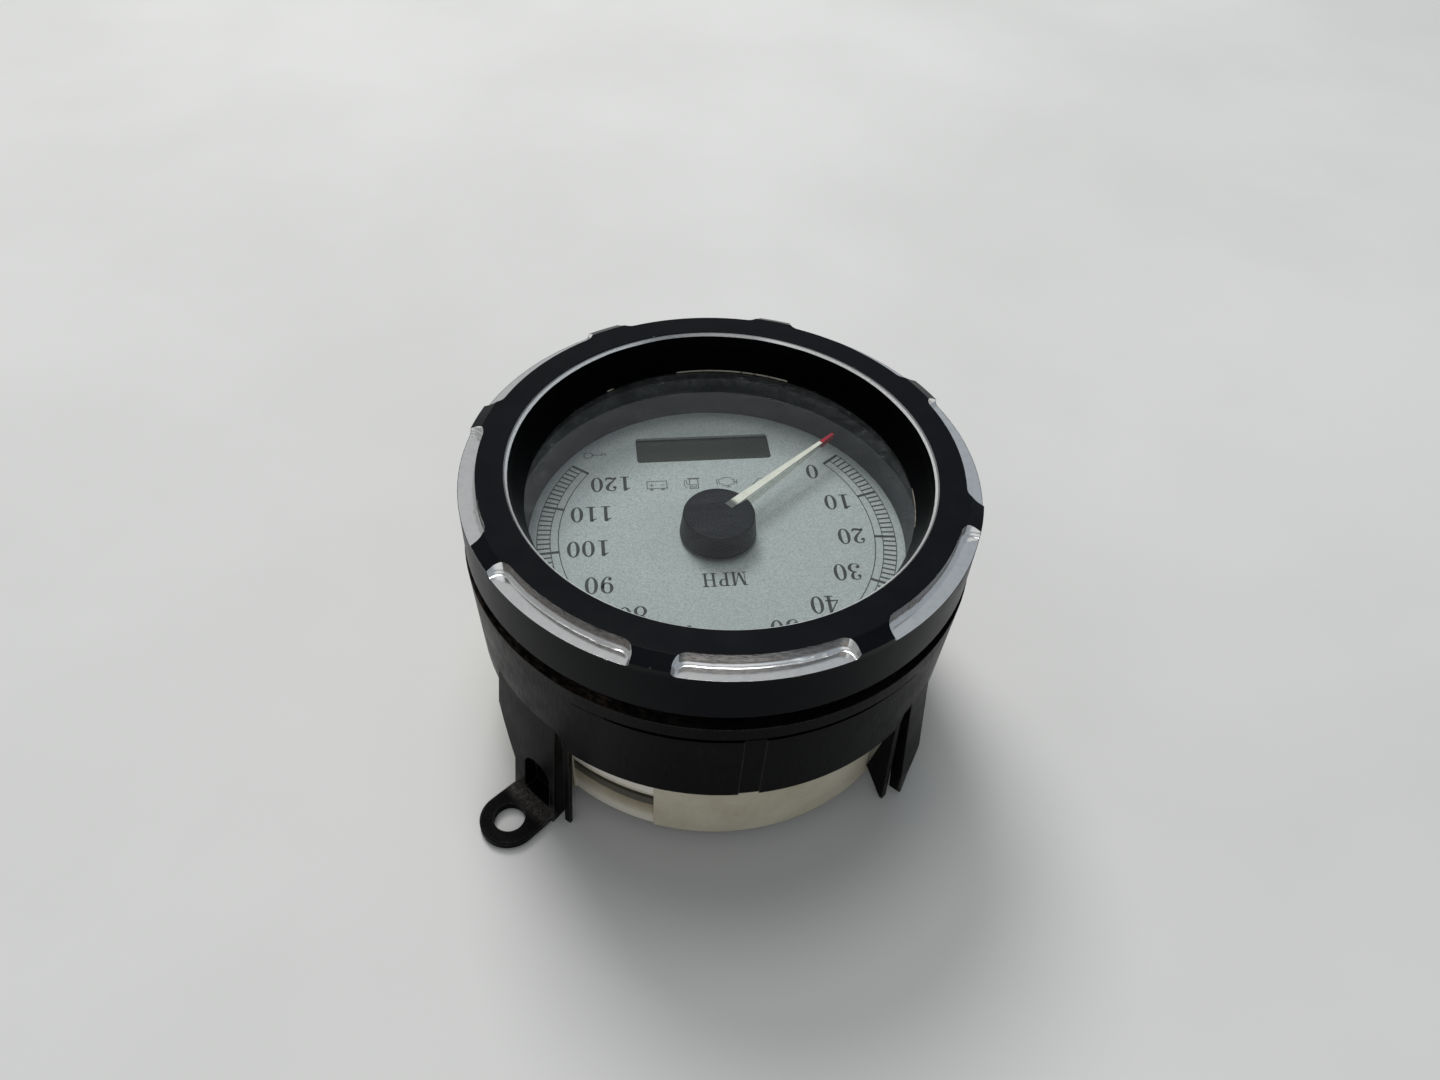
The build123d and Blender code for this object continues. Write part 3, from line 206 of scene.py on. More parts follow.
class Graph(NodeTree):
    """A new material and its nodes."""

    def __init__(self, name, **sockets):
        self.material = bpy.data.materials.new(name)
        super().__init__(self.material, "Object")
        self.shader = self.tree.nodes["Principled BSDF"]
        self.output = self.tree.nodes["Material Output"]
        for socket, value in sockets.items():
            self.shader.inputs[socket.replace("_", " ")].default_value = value

    def colour(self, socket):
        self.link(socket, self.shader.inputs["Base Color"])

    def roughness(self, socket):
        self.link(socket, self.shader.inputs["Roughness"])

    def specular(self, socket):
        self.link(socket, self.shader.inputs["Specular IOR Level"])

    def metallic(self, socket):
        self.link(socket, self.shader.inputs["Metallic"])

    def normal(self, socket):
        self.link(socket, self.shader.inputs["Normal"])

    def surface(self, socket):
        self.link(socket, self.output.inputs["Surface"])


def dress(material, *names):
    for name in names:
        node = nodes[name]
        if not node.material_slots:
            node.data.materials.append(material)
        for spot in node.material_slots:
            spot.material = material


def varied(name, dark, light, size, rough, grain, grain_size, **sockets):
    """A plain moulded or cast finish: colour and gloss drift, with an even fine grain."""
    g = Graph(name, **sockets)
    speck = g.noise(grain_size, 2.0, 0.5, shift=3.0)
    both = g.plus(g.times(g.noise(size, 5.0, 0.6), 0.7), g.times(speck, 0.3))
    g.colour(g.mix(g.span(both, 0.3, 0.7), dark, light))
    g.roughness(g.span(both, 0.3, 0.7, *rough))
    g.normal(g.bump(speck, grain, 0.6))
    return g.material


# ---------------------------------------------------------------- finishes
# where the forms of the CAD lie: radii from the dial's axis, heights above the feet
LAND_INNER, LAND_OUTER, LAND_Z = 55.1 * MM, 63.0 * MM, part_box("billet_bezel")[1].z
CONE_FALL = 2.0 / 3.5
FLUTE_INNER, FLUTE_FLOOR = 61.9 * MM, LAND_Z - 3.5 * MM
BEZEL_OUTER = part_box("billet_bezel")[1].x
NOSE_RADIUS = min(math.hypot(v.co.x, v.co.y) for v in nodes["billet_bezel"].data.vertices)
NOSE_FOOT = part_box("rolled_bezel")[1].z - 0.5 * MM
BRACKET_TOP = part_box("mounting_bracket")[1].z
BRACKET_GROOVE = BRACKET_TOP - 5.0 * MM
LEG_FACE = 69.6 * MM
CASE_FOOT, CASE_DRAFT = 59.35 * MM, 0.0125
RECESS_TOP, RECESS_STEP, RECESS_GROOVE = 27.0 * MM, 18.3 * MM, 15.4 * MM
BLADE_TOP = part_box("pointer_blade")[1].z
BLADE_ROOT_DEPTH, BLADE_RISE_FROM, BLADE_RISE = 4.5 * MM, 10.4 * MM, 2.9 / 36.6
RED_FROM = 41.6 * MM

# places round the dial, in degrees from +X
FAR_SIDE = -90.0
RUBBED_ARCS = ((-100.5, 19.0), (-58.3, 1.6), (169.3, 8.5))
SILTED_MIDDLE = 32.0

# tones of the billet, and how much its black mirrors, from 0 to 1
BLACK_OXIDE, FADED_OXIDE = (0.0030, 0.0034, 0.0047), (0.0043, 0.0047, 0.0060)
# the bore's black is painted shade, darker than the oxide of the rest
BORE_SHADE_BLACK = (0.0008, 0.0009, 0.0012)
BRIGHT_METAL, DULL_METAL, WORN_METAL = (0.95, 0.947, 0.937), (0.66, 0.66, 0.67), (0.20, 0.20, 0.205)
LAND_SPECULAR, SKIRT_SPECULAR, BRACKET_SPECULAR = 0.09, 0.045, 0.037


def billet_finish():
    """Black anodised billet with bright milled flutes and a bright worn lip, rubbed along its edges."""
    g = Graph("billet_black_and_bright", IOR=1.5)
    z = g.split()[2]
    r, angle = g.radius(), g.angle()
    round_about = g.join(g.times(g.math("COSINE", angle), 0.02), g.times(g.math("SINE", angle), 0.02), 0.0)
    creep = g.noise(9 * MM, 3.0, 0.5, vector=round_about, shift=31.0)
    from_far = g.apart(angle, math.radians(FAR_SIDE))
    # the bright places: the flutes, cut below the cone of the land, and the lip at its inner edge
    cone = g.minus(LAND_Z, g.times(g.minus(r, LAND_OUTER), CONE_FALL))
    in_band = g.times(g.above(r, FLUTE_INNER - 0.2 * MM), g.below(r, BEZEL_OUTER - 0.12 * MM))
    deep = g.times(g.above(z, FLUTE_FLOOR - 0.05 * MM), g.below(z, LAND_Z - 0.04 * MM))
    flute = g.times(in_band, deep, g.below(z, g.minus(cone, 0.06 * MM)))
    foot = g.minus(LAND_Z, g.span(creep, 0.35, 0.62, 0.95 * MM, 1.08 * MM))
    worn_down = g.span(from_far, math.radians(28), math.radians(70), 0.21 * MM, 0.06 * MM)
    crest = g.minus(LAND_Z, g.plus(worn_down, g.times(creep, 0.08 * MM)))
    lip = g.times(g.below(r, LAND_INNER + 0.04 * MM), g.above(z, foot), g.below(z, crest))
    chips = g.span(g.noise(0.9 * MM, 6.0, 0.7, shift=9.0), 0.60, 0.68)
    rub = g.times(g.edges(0.45 * MM, 0.90, 0.995), chips)
    metal = g.most(g.most(flute, lip), rub)
    off_lip = g.without(lip)
    # bright metal, dull in clouds, with flute walls stained brownish and painted darker towards the land
    # edge as painted shade, pits and a dimmer upper lip
    brushed = g.noise(0.09 * MM, 3.0, 0.6, vector=g.join(g.times(angle, 0.004), r, z), shift=2.0)
    dull = g.noise(2.2 * MM, 5.0, 0.65, shift=7.0)
    bright_tone = g.mix(g.times(g.span(dull, 0.40, 0.80, 0.0, 0.4), off_lip), BRIGHT_METAL, DULL_METAL)
    off_floor = g.span(z, FLUTE_FLOOR + 0.42 * MM, FLUTE_FLOOR + 0.80 * MM)
    wall = g.times(g.below(r, FLUTE_INNER + 0.9 * MM), off_floor)
    # the flute walls are stained brownish, and painted darker up towards the land edge as painted shade
    wall_stain_and_shade = g.times(wall, flute, g.span(brushed, 0.38, 0.60, 0.60, 1.0))
    wall_height = g.span(z, FLUTE_FLOOR + 1.0 * MM, LAND_Z - 0.3 * MM)
    bright_tone = g.mix(wall_stain_and_shade, bright_tone, g.mix(wall_height, (0.20, 0.172, 0.150), (0.085, 0.073, 0.064)))
    pit = g.span(g.noise(0.7 * MM, 5.0, 0.7, shift=21.0), 0.66, 0.72)
    bright_tone = g.mix(g.times(pit, 0.75, off_lip), bright_tone, (0.16, 0.14, 0.12))
    upper = g.span(z, LAND_Z - 0.55 * MM, LAND_Z - 0.36 * MM)
    dull_arc = g.span(from_far, math.radians(14), math.radians(26), 0.8, 0.0)
    dim = g.times(lip, g.most(g.times(upper, 0.85), g.times(dull_arc, g.span(creep, 0.3, 0.6, 1.0, 0.6))))
    bright_tone = g.mix(dim, bright_tone, WORN_METAL)
    # black oxide, with clouds and dust; down the bore it is painted blacker and less glossy, as painted
    # shade
    smear = g.noise(7 * MM, 4.0, 0.6, shift=5.0)
    black_tone = g.mix(g.span(smear, 0.35, 0.7), BLACK_OXIDE, FADED_OXIDE)
    specks = g.span(g.noise(0.25 * MM, 3.0, 0.6, shift=1.0), 0.63, 0.76)
    specks = g.times(specks, g.span(smear, 0.45, 0.7, 0.05, 0.5))
    black_tone = g.mix(specks, black_tone, (0.030, 0.029, 0.028))
    bore_shade = g.below(r, LAND_INNER - 0.5 * MM)
    black_tone = g.mix(bore_shade, black_tone, BORE_SHADE_BLACK)
    # three stretches of the nose that reaches down to the glass are rubbed bare at its foot
    bare = 0.0
    for middle, half in RUBBED_ARCS:
        away = g.apart(angle, math.radians(middle))
        bare = g.most(bare, g.span(away, math.radians(half - 1.0), math.radians(half), 1.0, 0.0))
    at_foot = g.times(g.below(r, NOSE_RADIUS + 0.3 * MM), g.below(z, NOSE_FOOT + 0.9 * MM))
    ragged = g.minus(g.minus(z, NOSE_FOOT), g.times(creep, 0.5 * MM))
    broken = g.span(g.noise(0.8 * MM, 5.0, 0.7, vector=round_about, shift=17.0), 0.36, 0.50, 0.25, 1.0)
    bare = g.times(bare, at_foot, g.span(ragged, 0.10 * MM, 0.22 * MM, 1.0, 0.0), broken)
    black_tone = g.mix(bare, black_tone, (0.34, 0.31, 0.26))
    g.colour(g.mix(metal, black_tone, bright_tone))
    shine = g.span(z, LAND_Z - 4.5 * MM, LAND_Z - 2.5 * MM, SKIRT_SPECULAR, LAND_SPECULAR)
    # down the bore the gloss is cut as well, part of the painted shade there
    g.specular(g.times(shine, g.without(g.times(bore_shade, 0.7))))
    g.metallic(g.times(metal, g.without(g.times(lip, 0.35))))
    pores = g.span(g.cells(0.9 * MM), 0.03, 0.10, 1.0, 0.0)
    black_rough = g.span(g.plus(g.times(smear, 0.7), g.times(pores, 0.06)), 0.2, 0.6, 0.30, 0.36)
    bright_rough = g.plus(g.span(brushed, 0.3, 0.7, 0.11, 0.20), g.times(lip, 0.12))
    g.roughness(g.plus(g.times(metal, bright_rough), g.times(g.without(metal), black_rough)))
    lines = g.times(brushed, g.minus(metal, lip), 0.35)
    height = g.plus(lines, g.times(g.noise(0.12 * MM, 2.0), 0.15, off_lip))
    g.normal(g.bump(height, 0.004 * MM, 0.4, normal=g.rounded(0.22 * MM)))
    return g.material


def bracket_finish():
    """Dark satin mould with dust in patches, rub marks and a fine vertical drag."""
    g = Graph("bracket_satin_black", IOR=1.5)
    z = g.split()[2]
    r, angle = g.radius(), g.angle()
    upright = g.join(g.times(angle, 0.06), 0.0, g.times(z, 0.09))
    drag = g.noise(0.5 * MM, 3.0, 0.6, vector=upright, shift=4.0)
    cloud = g.noise(11 * MM, 5.0, 0.6, distort=0.4)
    fine = g.noise(0.35 * MM, 3.0, 0.6, shift=2.0)
    tone = g.mix(g.span(cloud, 0.35, 0.7), (0.0022, 0.0022, 0.0026), (0.0047, 0.0046, 0.0047))
    worn = g.times(g.edges(0.5 * MM, 0.86, 0.99), g.span(fine, 0.4, 0.7, 0.15, 0.8))
    tone = g.mix(worn, tone, (0.11, 0.105, 0.098))
    dust = g.span(g.noise(1.2 * MM, 6.0, 0.7, shift=6.0), 0.52, 0.75)
    tone = g.mix(g.times(dust, g.span(cloud, 0.4, 0.75, 0.0, 0.35)), tone, (0.070, 0.066, 0.060))
    # brown silt lies on the ledge in the panel groove, mostly at one side
    silt = g.noise(0.8 * MM, 7.0, 0.8, vector=g.join(g.times(angle, 0.022), r, z), shift=14.0)
    silt = g.times(g.span(silt, 0.42, 0.68, 0.05, 0.9), g.span(cloud, 0.35, 0.62, 0.25, 1.0))
    away = g.apart(angle, math.radians(SILTED_MIDDLE))
    sheltered = g.span(away, math.radians(26), math.radians(50), 1.0, 0.10)
    ledge = g.span(z, BRACKET_TOP - 0.5 * MM, BRACKET_TOP - 0.1 * MM)
    tone = g.mix(g.times(ledge, silt, sheltered), tone, (0.085, 0.066, 0.053))
    # fine scuffs where each lug leaves its leg
    low_down = g.span(z, 3.5 * MM, 9.0 * MM, 1.0, 0.0)
    near_leg = g.span(r, LEG_FACE + 0.8 * MM, LEG_FACE + 4.8 * MM, 1.0, 0.0)
    streaks = g.join(g.times(angle, 0.070), g.times(r, 0.35), z)
    grain = g.noise(0.5 * MM, 8.0, 0.8, vector=streaks, shift=23.0)
    scuffs = g.plus(g.span(grain, 0.40, 0.66, 0.0, 0.75), g.span(cloud, 0.3, 0.7, 0.05, 0.20))
    scuffs = g.times(scuffs, low_down, near_leg, g.above(r, LEG_FACE - 1.0 * MM))
    tone = g.mix(scuffs, tone, (0.115, 0.103, 0.094))
    # the fine groove under the top band is painted near-black and without gloss, as painted shade, thickest
    # at twelve and six o'clock
    near_ends = g.math("ABSOLUTE", g.math("SINE", angle))
    thickness = g.times(g.span(near_ends, 0.79, 0.93, 0.0, 0.62 * MM), g.span(fine, 0.2, 0.8, 0.8, 1.15))
    grime_and_shade = g.below(g.apart(z, BRACKET_GROOVE), thickness)
    tone = g.mix(grime_and_shade, tone, (0.0004, 0.0004, 0.0005))
    g.colour(tone)
    # the painted shade line in the groove also loses its gloss
    g.specular(g.minus(BRACKET_SPECULAR, g.times(grime_and_shade, 0.034)))
    g.roughness(g.span(g.plus(g.times(drag, 0.5), g.times(cloud, 0.5)), 0.35, 0.65, 0.26, 0.44))
    g.normal(g.bump(g.plus(g.times(fine, 0.5), drag), 0.012 * MM, 0.5, normal=g.rounded(0.35 * MM)))
    return g.material


def case_finish():
    """Aged cream moulding: yellowed drift, with grime and dark streaks in scattered patches."""
    g = Graph("case_aged_cream", IOR=1.47, Subsurface_Weight=0.12, Subsurface_Scale=2 * MM)
    g.shader.inputs["Subsurface Radius"].default_value = (1.0, 0.8, 0.55)
    z = g.split()[2]
    cloud = g.noise(14 * MM, 5.0, 0.6)
    fine = g.noise(0.4 * MM, 3.0, 0.6, shift=2.0)
    tone = g.mix(g.span(cloud, 0.3, 0.7), (0.60, 0.555, 0.435), (0.50, 0.45, 0.335))
    grime_and_shade = g.span(g.noise(1.6 * MM, 7.0, 0.72, shift=8.0), 0.50, 0.74)
    tone = g.mix(g.times(grime_and_shade, g.span(cloud, 0.35, 0.7, 0.15, 0.75)), tone, (0.33, 0.29, 0.22))
    streak = g.span(g.noise(0.45 * MM, 5.0, 0.7, shift=12.0), 0.66, 0.74)
    tone = g.mix(g.times(streak, 0.5), tone, (0.16, 0.13, 0.10))
    # the side recess: its deep groove and a band below the step are painted near-black as painted shade;
    # the scoop below is stained and painted darker towards the band as painted shade, and painted lighter
    # low down and on the strip above the step as painted light
    depth = g.minus(g.plus(CASE_FOOT, g.times(z, CASE_DRAFT)), g.radius())
    low_down = g.span(z, RECESS_TOP - 1 * MM, RECESS_TOP + 1 * MM, 1.0, 0.0)
    outside = g.times(g.below(depth, 1.9 * MM), low_down)
    inset = g.times(g.span(depth, 0.4 * MM, 0.6 * MM), outside)
    groove = g.times(g.span(depth, 0.95 * MM, 1.15 * MM), outside,
                     g.span(z, RECESS_GROOVE - 0.4 * MM, RECESS_GROOVE + 0.4 * MM))
    # low in the scoop the cream is painted lighter: painted light
    tone = g.mix(g.times(inset, g.span(z, 6.0 * MM, 9.5 * MM, 0.9, 0.0)), tone, (0.78, 0.74, 0.63))
    # the scoop is stained brown and painted darker up towards the band: partly stain, partly painted shade
    scoop_stain_and_shade = g.times(inset, g.span(z, 7.5 * MM, 13.0 * MM), g.span(cloud, 0.25, 0.7, 0.55, 0.95))
    tone = g.mix(scoop_stain_and_shade, tone, (0.30, 0.245, 0.155))
    # the flush strip above the step is painted whiter: painted light
    strip_highlight = g.times(g.span(depth, 0.03 * MM, 0.12 * MM), outside, g.above(z, RECESS_STEP), 0.8)
    tone = g.mix(strip_highlight, tone, (0.84, 0.80, 0.73))
    line = g.plus(z, g.times(cloud, 0.8 * MM))
    # the band under the step and the groove are painted near-black: painted shade under the overhang
    band = g.times(inset, g.span(line, 13.1 * MM, 13.6 * MM), g.below(z, RECESS_STEP))
    recess_shade = g.times(g.most(band, groove), g.span(fine, 0.3, 0.7, 0.86, 0.98))
    g.colour(g.mix(recess_shade, tone, (0.058, 0.055, 0.040)))
    g.roughness(g.span(cloud, 0.3, 0.7, 0.34, 0.50))
    g.normal(g.bump(fine, 0.012 * MM, 0.5, normal=g.rounded(0.30 * MM)))
    return g.material


def dial_finish():
    """Silver printed film: fine metallic fleck, faint clouding and a few pin specks."""
    g = Graph("dial_silver_print", IOR=1.45)
    fleck = g.noise(0.30 * MM, 2.0, 0.7, shift=1.0)
    coarse = g.noise(0.85 * MM, 3.0, 0.6, shift=4.0)
    silver = g.span(g.plus(g.times(fleck, 0.8), g.times(coarse, 0.2)), 0.38, 0.64)
    tone = g.mix(silver, (0.300, 0.330, 0.326), (0.485, 0.522, 0.518))
    tone = g.mix(g.span(g.noise(24 * MM, 4.0, 0.5), 0.35, 0.65, 0.0, 0.25), tone, (0.33, 0.355, 0.352))
    speck = g.span(g.cells(5.5 * MM), 0.010, 0.018, 1.0, 0.0)
    g.colour(g.mix(g.times(speck, 0.7), tone, (0.08, 0.08, 0.08)))
    g.roughness(g.span(fleck, 0.3, 0.7, 0.42, 0.62))
    g.normal(g.bump(fleck, 0.006 * MM, 0.6))
    return g.material


def lens_finish():
    """Clear flat glass that shows the room faintly, with dust and light wipe marks."""
    g = Graph("lens_clear_glass")
    film = g.noise(18 * MM, 5.0, 0.65)
    clear = g.plain("ShaderNodeBsdfTransparent", (0.955, 0.97, 0.965))
    gloss = g.plain("ShaderNodeBsdfGlossy", (1.0, 1.0, 1.0))
    g.link(g.span(film, 0.3, 0.7, 0.015, 0.06), gloss.inputs["Roughness"])
    haze = g.plain("ShaderNodeBsdfDiffuse", (0.50, 0.52, 0.53))
    fresnel = g.add("ShaderNodeFresnel")
    fresnel.inputs["IOR"].default_value = 1.52
    outer_side = g.without(g.add("ShaderNodeNewGeometry").outputs["Backfacing"])
    pane = g.blend(g.times(fresnel.outputs[0], outer_side), clear.outputs[0], gloss.outputs[0])
    fine = g.span(g.noise(0.18 * MM, 2.0, 0.6, shift=2.0), 0.74, 0.82, 0.0, 0.10)
    wipe = g.noise(2.6 * MM, 4.0, 0.6, vector=g.mapped((0.25, 1.0, 1.0)), shift=6.0)
    wipe = g.span(wipe, 0.40, 0.75, 0.003, 0.022)
    cover = g.plus(g.times(fine, g.span(film, 0.4, 0.65, 0.15, 1.0)), wipe)
    # more dirt is left where a cloth can't reach, under the bezel's nose
    streak = g.noise(0.55 * MM, 7.0, 0.8, vector=g.mapped((0.5, 1.0, 1.0)), shift=11.0)
    patch = g.span(g.noise(5 * MM, 3.0, 0.6, shift=19.0), 0.38, 0.62, 0.25, 1.0)
    rim = g.times(g.span(g.radius(), 42.5 * MM, 49.0 * MM), patch)
    cover = g.plus(cover, g.times(rim, g.plus(g.times(g.span(streak, 0.50, 0.68), 0.20), 0.015)))
    g.surface(g.blend(g.times(cover, outer_side), pane, haze.outputs[0]))
    return g.material


def surround_finish():
    """Dark moulded dish behind the glass, dusty round its upper rim."""
    g = Graph("surround_dusty_plastic", IOR=1.45)
    z = g.split()[2]
    cloud = g.noise(9 * MM, 5.0, 0.65)
    fine = g.noise(0.5 * MM, 5.0, 0.7, shift=3.0)
    rim = g.span(g.span(z, 62.0 * MM, 70.5 * MM), 0.0, 1.0, 0.08, 0.33)
    dust = g.times(g.span(fine, 0.42, 0.72), rim, g.span(cloud, 0.3, 0.7, 0.3, 1.0))
    tone = g.mix(g.span(cloud, 0.35, 0.7), (0.013, 0.014, 0.017), (0.028, 0.030, 0.033))
    g.colour(g.mix(dust, tone, (0.22, 0.22, 0.215)))
    g.roughness(g.span(fine, 0.3, 0.7, 0.45, 0.7))
    g.normal(g.bump(fine, 0.005 * MM, 0.4, normal=g.rounded(0.25 * MM)))
    return g.material


def pointer_finish():
    """Clear acrylic blade with a cream painted top and a red painted end."""
    g = Graph("pointer_painted_acrylic", IOR=1.45)
    z, r = g.split()[2], g.radius()
    grain = g.noise(0.35 * MM, 3.0, 0.6)
    body = g.noise(3.0 * MM, 3.0, 0.6, shift=3.0)
    cream = g.mix(g.span(grain, 0.3, 0.7), (0.66, 0.64, 0.56), (0.80, 0.79, 0.72))
    cream = g.mix(g.span(body, 0.35, 0.7, 0.0, 0.5), cream, (0.60, 0.57, 0.47))
    red = g.mix(g.span(grain, 0.3, 0.7), (0.30, 0.010, 0.022), (0.44, 0.018, 0.034))
    end = g.span(g.plus(r, g.times(grain, 0.4 * MM)), RED_FROM, RED_FROM + 0.3 * MM)
    bare = g.span(g.plus(r, g.times(grain, 0.8 * MM)), 5.6 * MM, 7.4 * MM, 1.0, 0.0)
    cream = g.mix(bare, cream, (0.10, 0.10, 0.10))
    g.colour(g.mix(end, cream, red))
    g.roughness(g.span(grain, 0.3, 0.7, 0.28, 0.5))
    g.normal(g.bump(grain, 0.01 * MM, 0.5, normal=g.rounded(0.12 * MM)))
    # only the top and the end are painted, so the flanks and the underside are seen through
    face = g.math("ABSOLUTE", g.split(g.add("ShaderNodeNewGeometry").outputs["Normal"])[2])
    flank = g.times(g.below(face, 0.5), g.span(z, BLADE_TOP - 0.45 * MM, BLADE_TOP - 0.25 * MM, 1.0, 0.0))
    under = g.times(g.above(face, 0.5), g.below(z, BLADE_TOP - 1.0 * MM))
    # the underside climbs from the root to the tip, and its edge catches the light from behind
    keel = g.plus(BLADE_TOP - BLADE_ROOT_DEPTH, g.times(g.minus(r, BLADE_RISE_FROM), BLADE_RISE))
    off_edge = g.span(g.minus(z, keel), 0.32 * MM, 0.50 * MM)
    edge_glow = g.times(flank, g.without(g.most(off_edge, end)), 0.8)
    glow = g.plain("ShaderNodeBsdfTranslucent", (0.95, 0.95, 0.93))
    window = g.plain("ShaderNodeBsdfTransparent", (0.86, 0.87, 0.85))
    solid_part = g.blend(edge_glow, g.shader.outputs[0], glow.outputs[0])
    see_through = g.times(g.most(g.times(flank, off_edge), under), g.without(end), 0.93)
    g.surface(g.blend(see_through, solid_part, window.outputs[0]))
    return g.material


def rolled_finish():
    """Black-painted rolled steel ring, rubbed bright in patches along its edges."""
    g = Graph("rolled_steel_painted", IOR=1.5)
    cloud = g.noise(6 * MM, 5.0, 0.6)
    fine = g.noise(0.3 * MM, 4.0, 0.65, shift=2.0)
    rub = g.times(g.edges(0.5 * MM, 0.85, 0.985), g.span(fine, 0.42, 0.62), g.span(cloud, 0.50, 0.66))
    tone = g.mix(g.span(cloud, 0.35, 0.7), (0.010, 0.010, 0.011), (0.022, 0.022, 0.022))
    tone = g.mix(rub, tone, (0.45, 0.42, 0.36))
    g.colour(g.mix(g.times(g.span(fine, 0.66, 0.74), 0.6), tone, (0.09, 0.055, 0.035)))
    g.metallic(g.times(rub, 0.8))
    g.roughness(g.span(fine, 0.3, 0.7, 0.32, 0.55))
    g.normal(g.bump(fine, 0.015 * MM, 0.5, normal=g.rounded(0.3 * MM)))
    return g.material


def metal(name, dark, light, rough, size, drag):
    """Bare or plated metal, brushed along one axis."""
    g = Graph(name, Metallic=1.0)
    cloud = g.noise(size, 5.0, 0.6)
    brush = g.noise(0.10 * MM, 3.0, 0.6, vector=g.mapped(drag), shift=5.0)
    g.colour(g.mix(g.span(cloud, 0.3, 0.7), dark, light))
    g.roughness(g.span(g.plus(g.times(cloud, 0.5), g.times(brush, 0.5)), 0.35, 0.65, *rough))
    g.normal(g.bump(brush, 0.006 * MM, 0.6))
    return g.material


def wound_copper():
    """Enamelled wire laid in even turns."""
    g = Graph("coil_enamelled_wire", Metallic=0.75)
    x, y, z = g.split()
    turns = 2 * math.pi / (0.16 * MM)
    wires = g.most(g.math("SINE", g.times(z, turns)), g.math("SINE", g.times(g.plus(x, y), turns)))
    g.colour(g.mix(g.span(wires, -0.6, 0.8), (0.16, 0.045, 0.018), (0.62, 0.25, 0.10)))
    g.roughness(g.span(g.noise(0.8 * MM), 0.3, 0.7, 0.22, 0.42))
    g.normal(g.bump(wires, 0.05 * MM, 0.6))
    return g.material


def board_finish():
    """Green masked laminate with copper tracks under the mask."""
    g = Graph("board_masked_laminate", IOR=1.5)
    lane = g.math("SINE", g.times(g.split()[0], 2 * math.pi / (1.27 * MM)))
    tracks = g.times(g.span(lane, 0.55, 0.7), g.span(g.noise(4 * MM, 1.0, shift=3.0), 0.5, 0.52))
    tone = g.mix(tracks, (0.010, 0.080, 0.036), (0.026, 0.155, 0.065))
    tone = g.mix(g.span(g.cells(2.4 * MM), 0.06, 0.09, 1.0, 0.0), tone, (0.62, 0.60, 0.52))
    tone = g.mix(g.span(g.noise(8 * MM), 0.3, 0.7, 0.0, 0.25), tone, (0.008, 0.05, 0.024))
    g.colour(tone)
    g.roughness(g.span(g.noise(0.5 * MM, 3.0, shift=4.0), 0.3, 0.7, 0.28, 0.42))
    g.normal(g.bump(tracks, 0.03 * MM, 0.6))
    return g.material


def display_finish():
    """Unlit liquid-crystal cell: dark grey-green behind gloss glass, with faint streaks."""
    g = Graph("display_cell_glass", IOR=1.5, Coat_Weight=0.5, Coat_Roughness=0.05)
    cloud = g.noise(13 * MM, 3.0, 0.5, vector=g.mapped((0.4, 1.0, 1.0)))
    fine = g.noise(0.25 * MM, 2.0, 0.6, shift=2.0)
    tone = g.mix(g.span(cloud, 0.3, 0.7), (0.036, 0.043, 0.038), (0.060, 0.069, 0.059))
    g.colour(g.mix(g.span(fine, 0.68, 0.76, 0.0, 0.25), tone, (0.2, 0.2, 0.18)))
    g.roughness(g.span(cloud, 0.3, 0.7, 0.16, 0.28))
    g.normal(g.bump(fine, 0.0006 * MM, 0.4))
    return g.material


dress(billet_finish(), "billet_bezel")
dress(bracket_finish(), "mounting_bracket")
dress(case_finish(), "case_body")
dress(dial_finish(), "dial_plate")
dress(lens_finish(), "glass_lens")
dress(surround_finish(), "dial_surround")
dress(pointer_finish(), "pointer_blade")
dress(rolled_finish(), "rolled_bezel")
dress(display_finish(), "lcd_glass")
dress(board_finish(), "display_board", "main_board")
dress(wound_copper(), "coil_inner", "coil_outer")

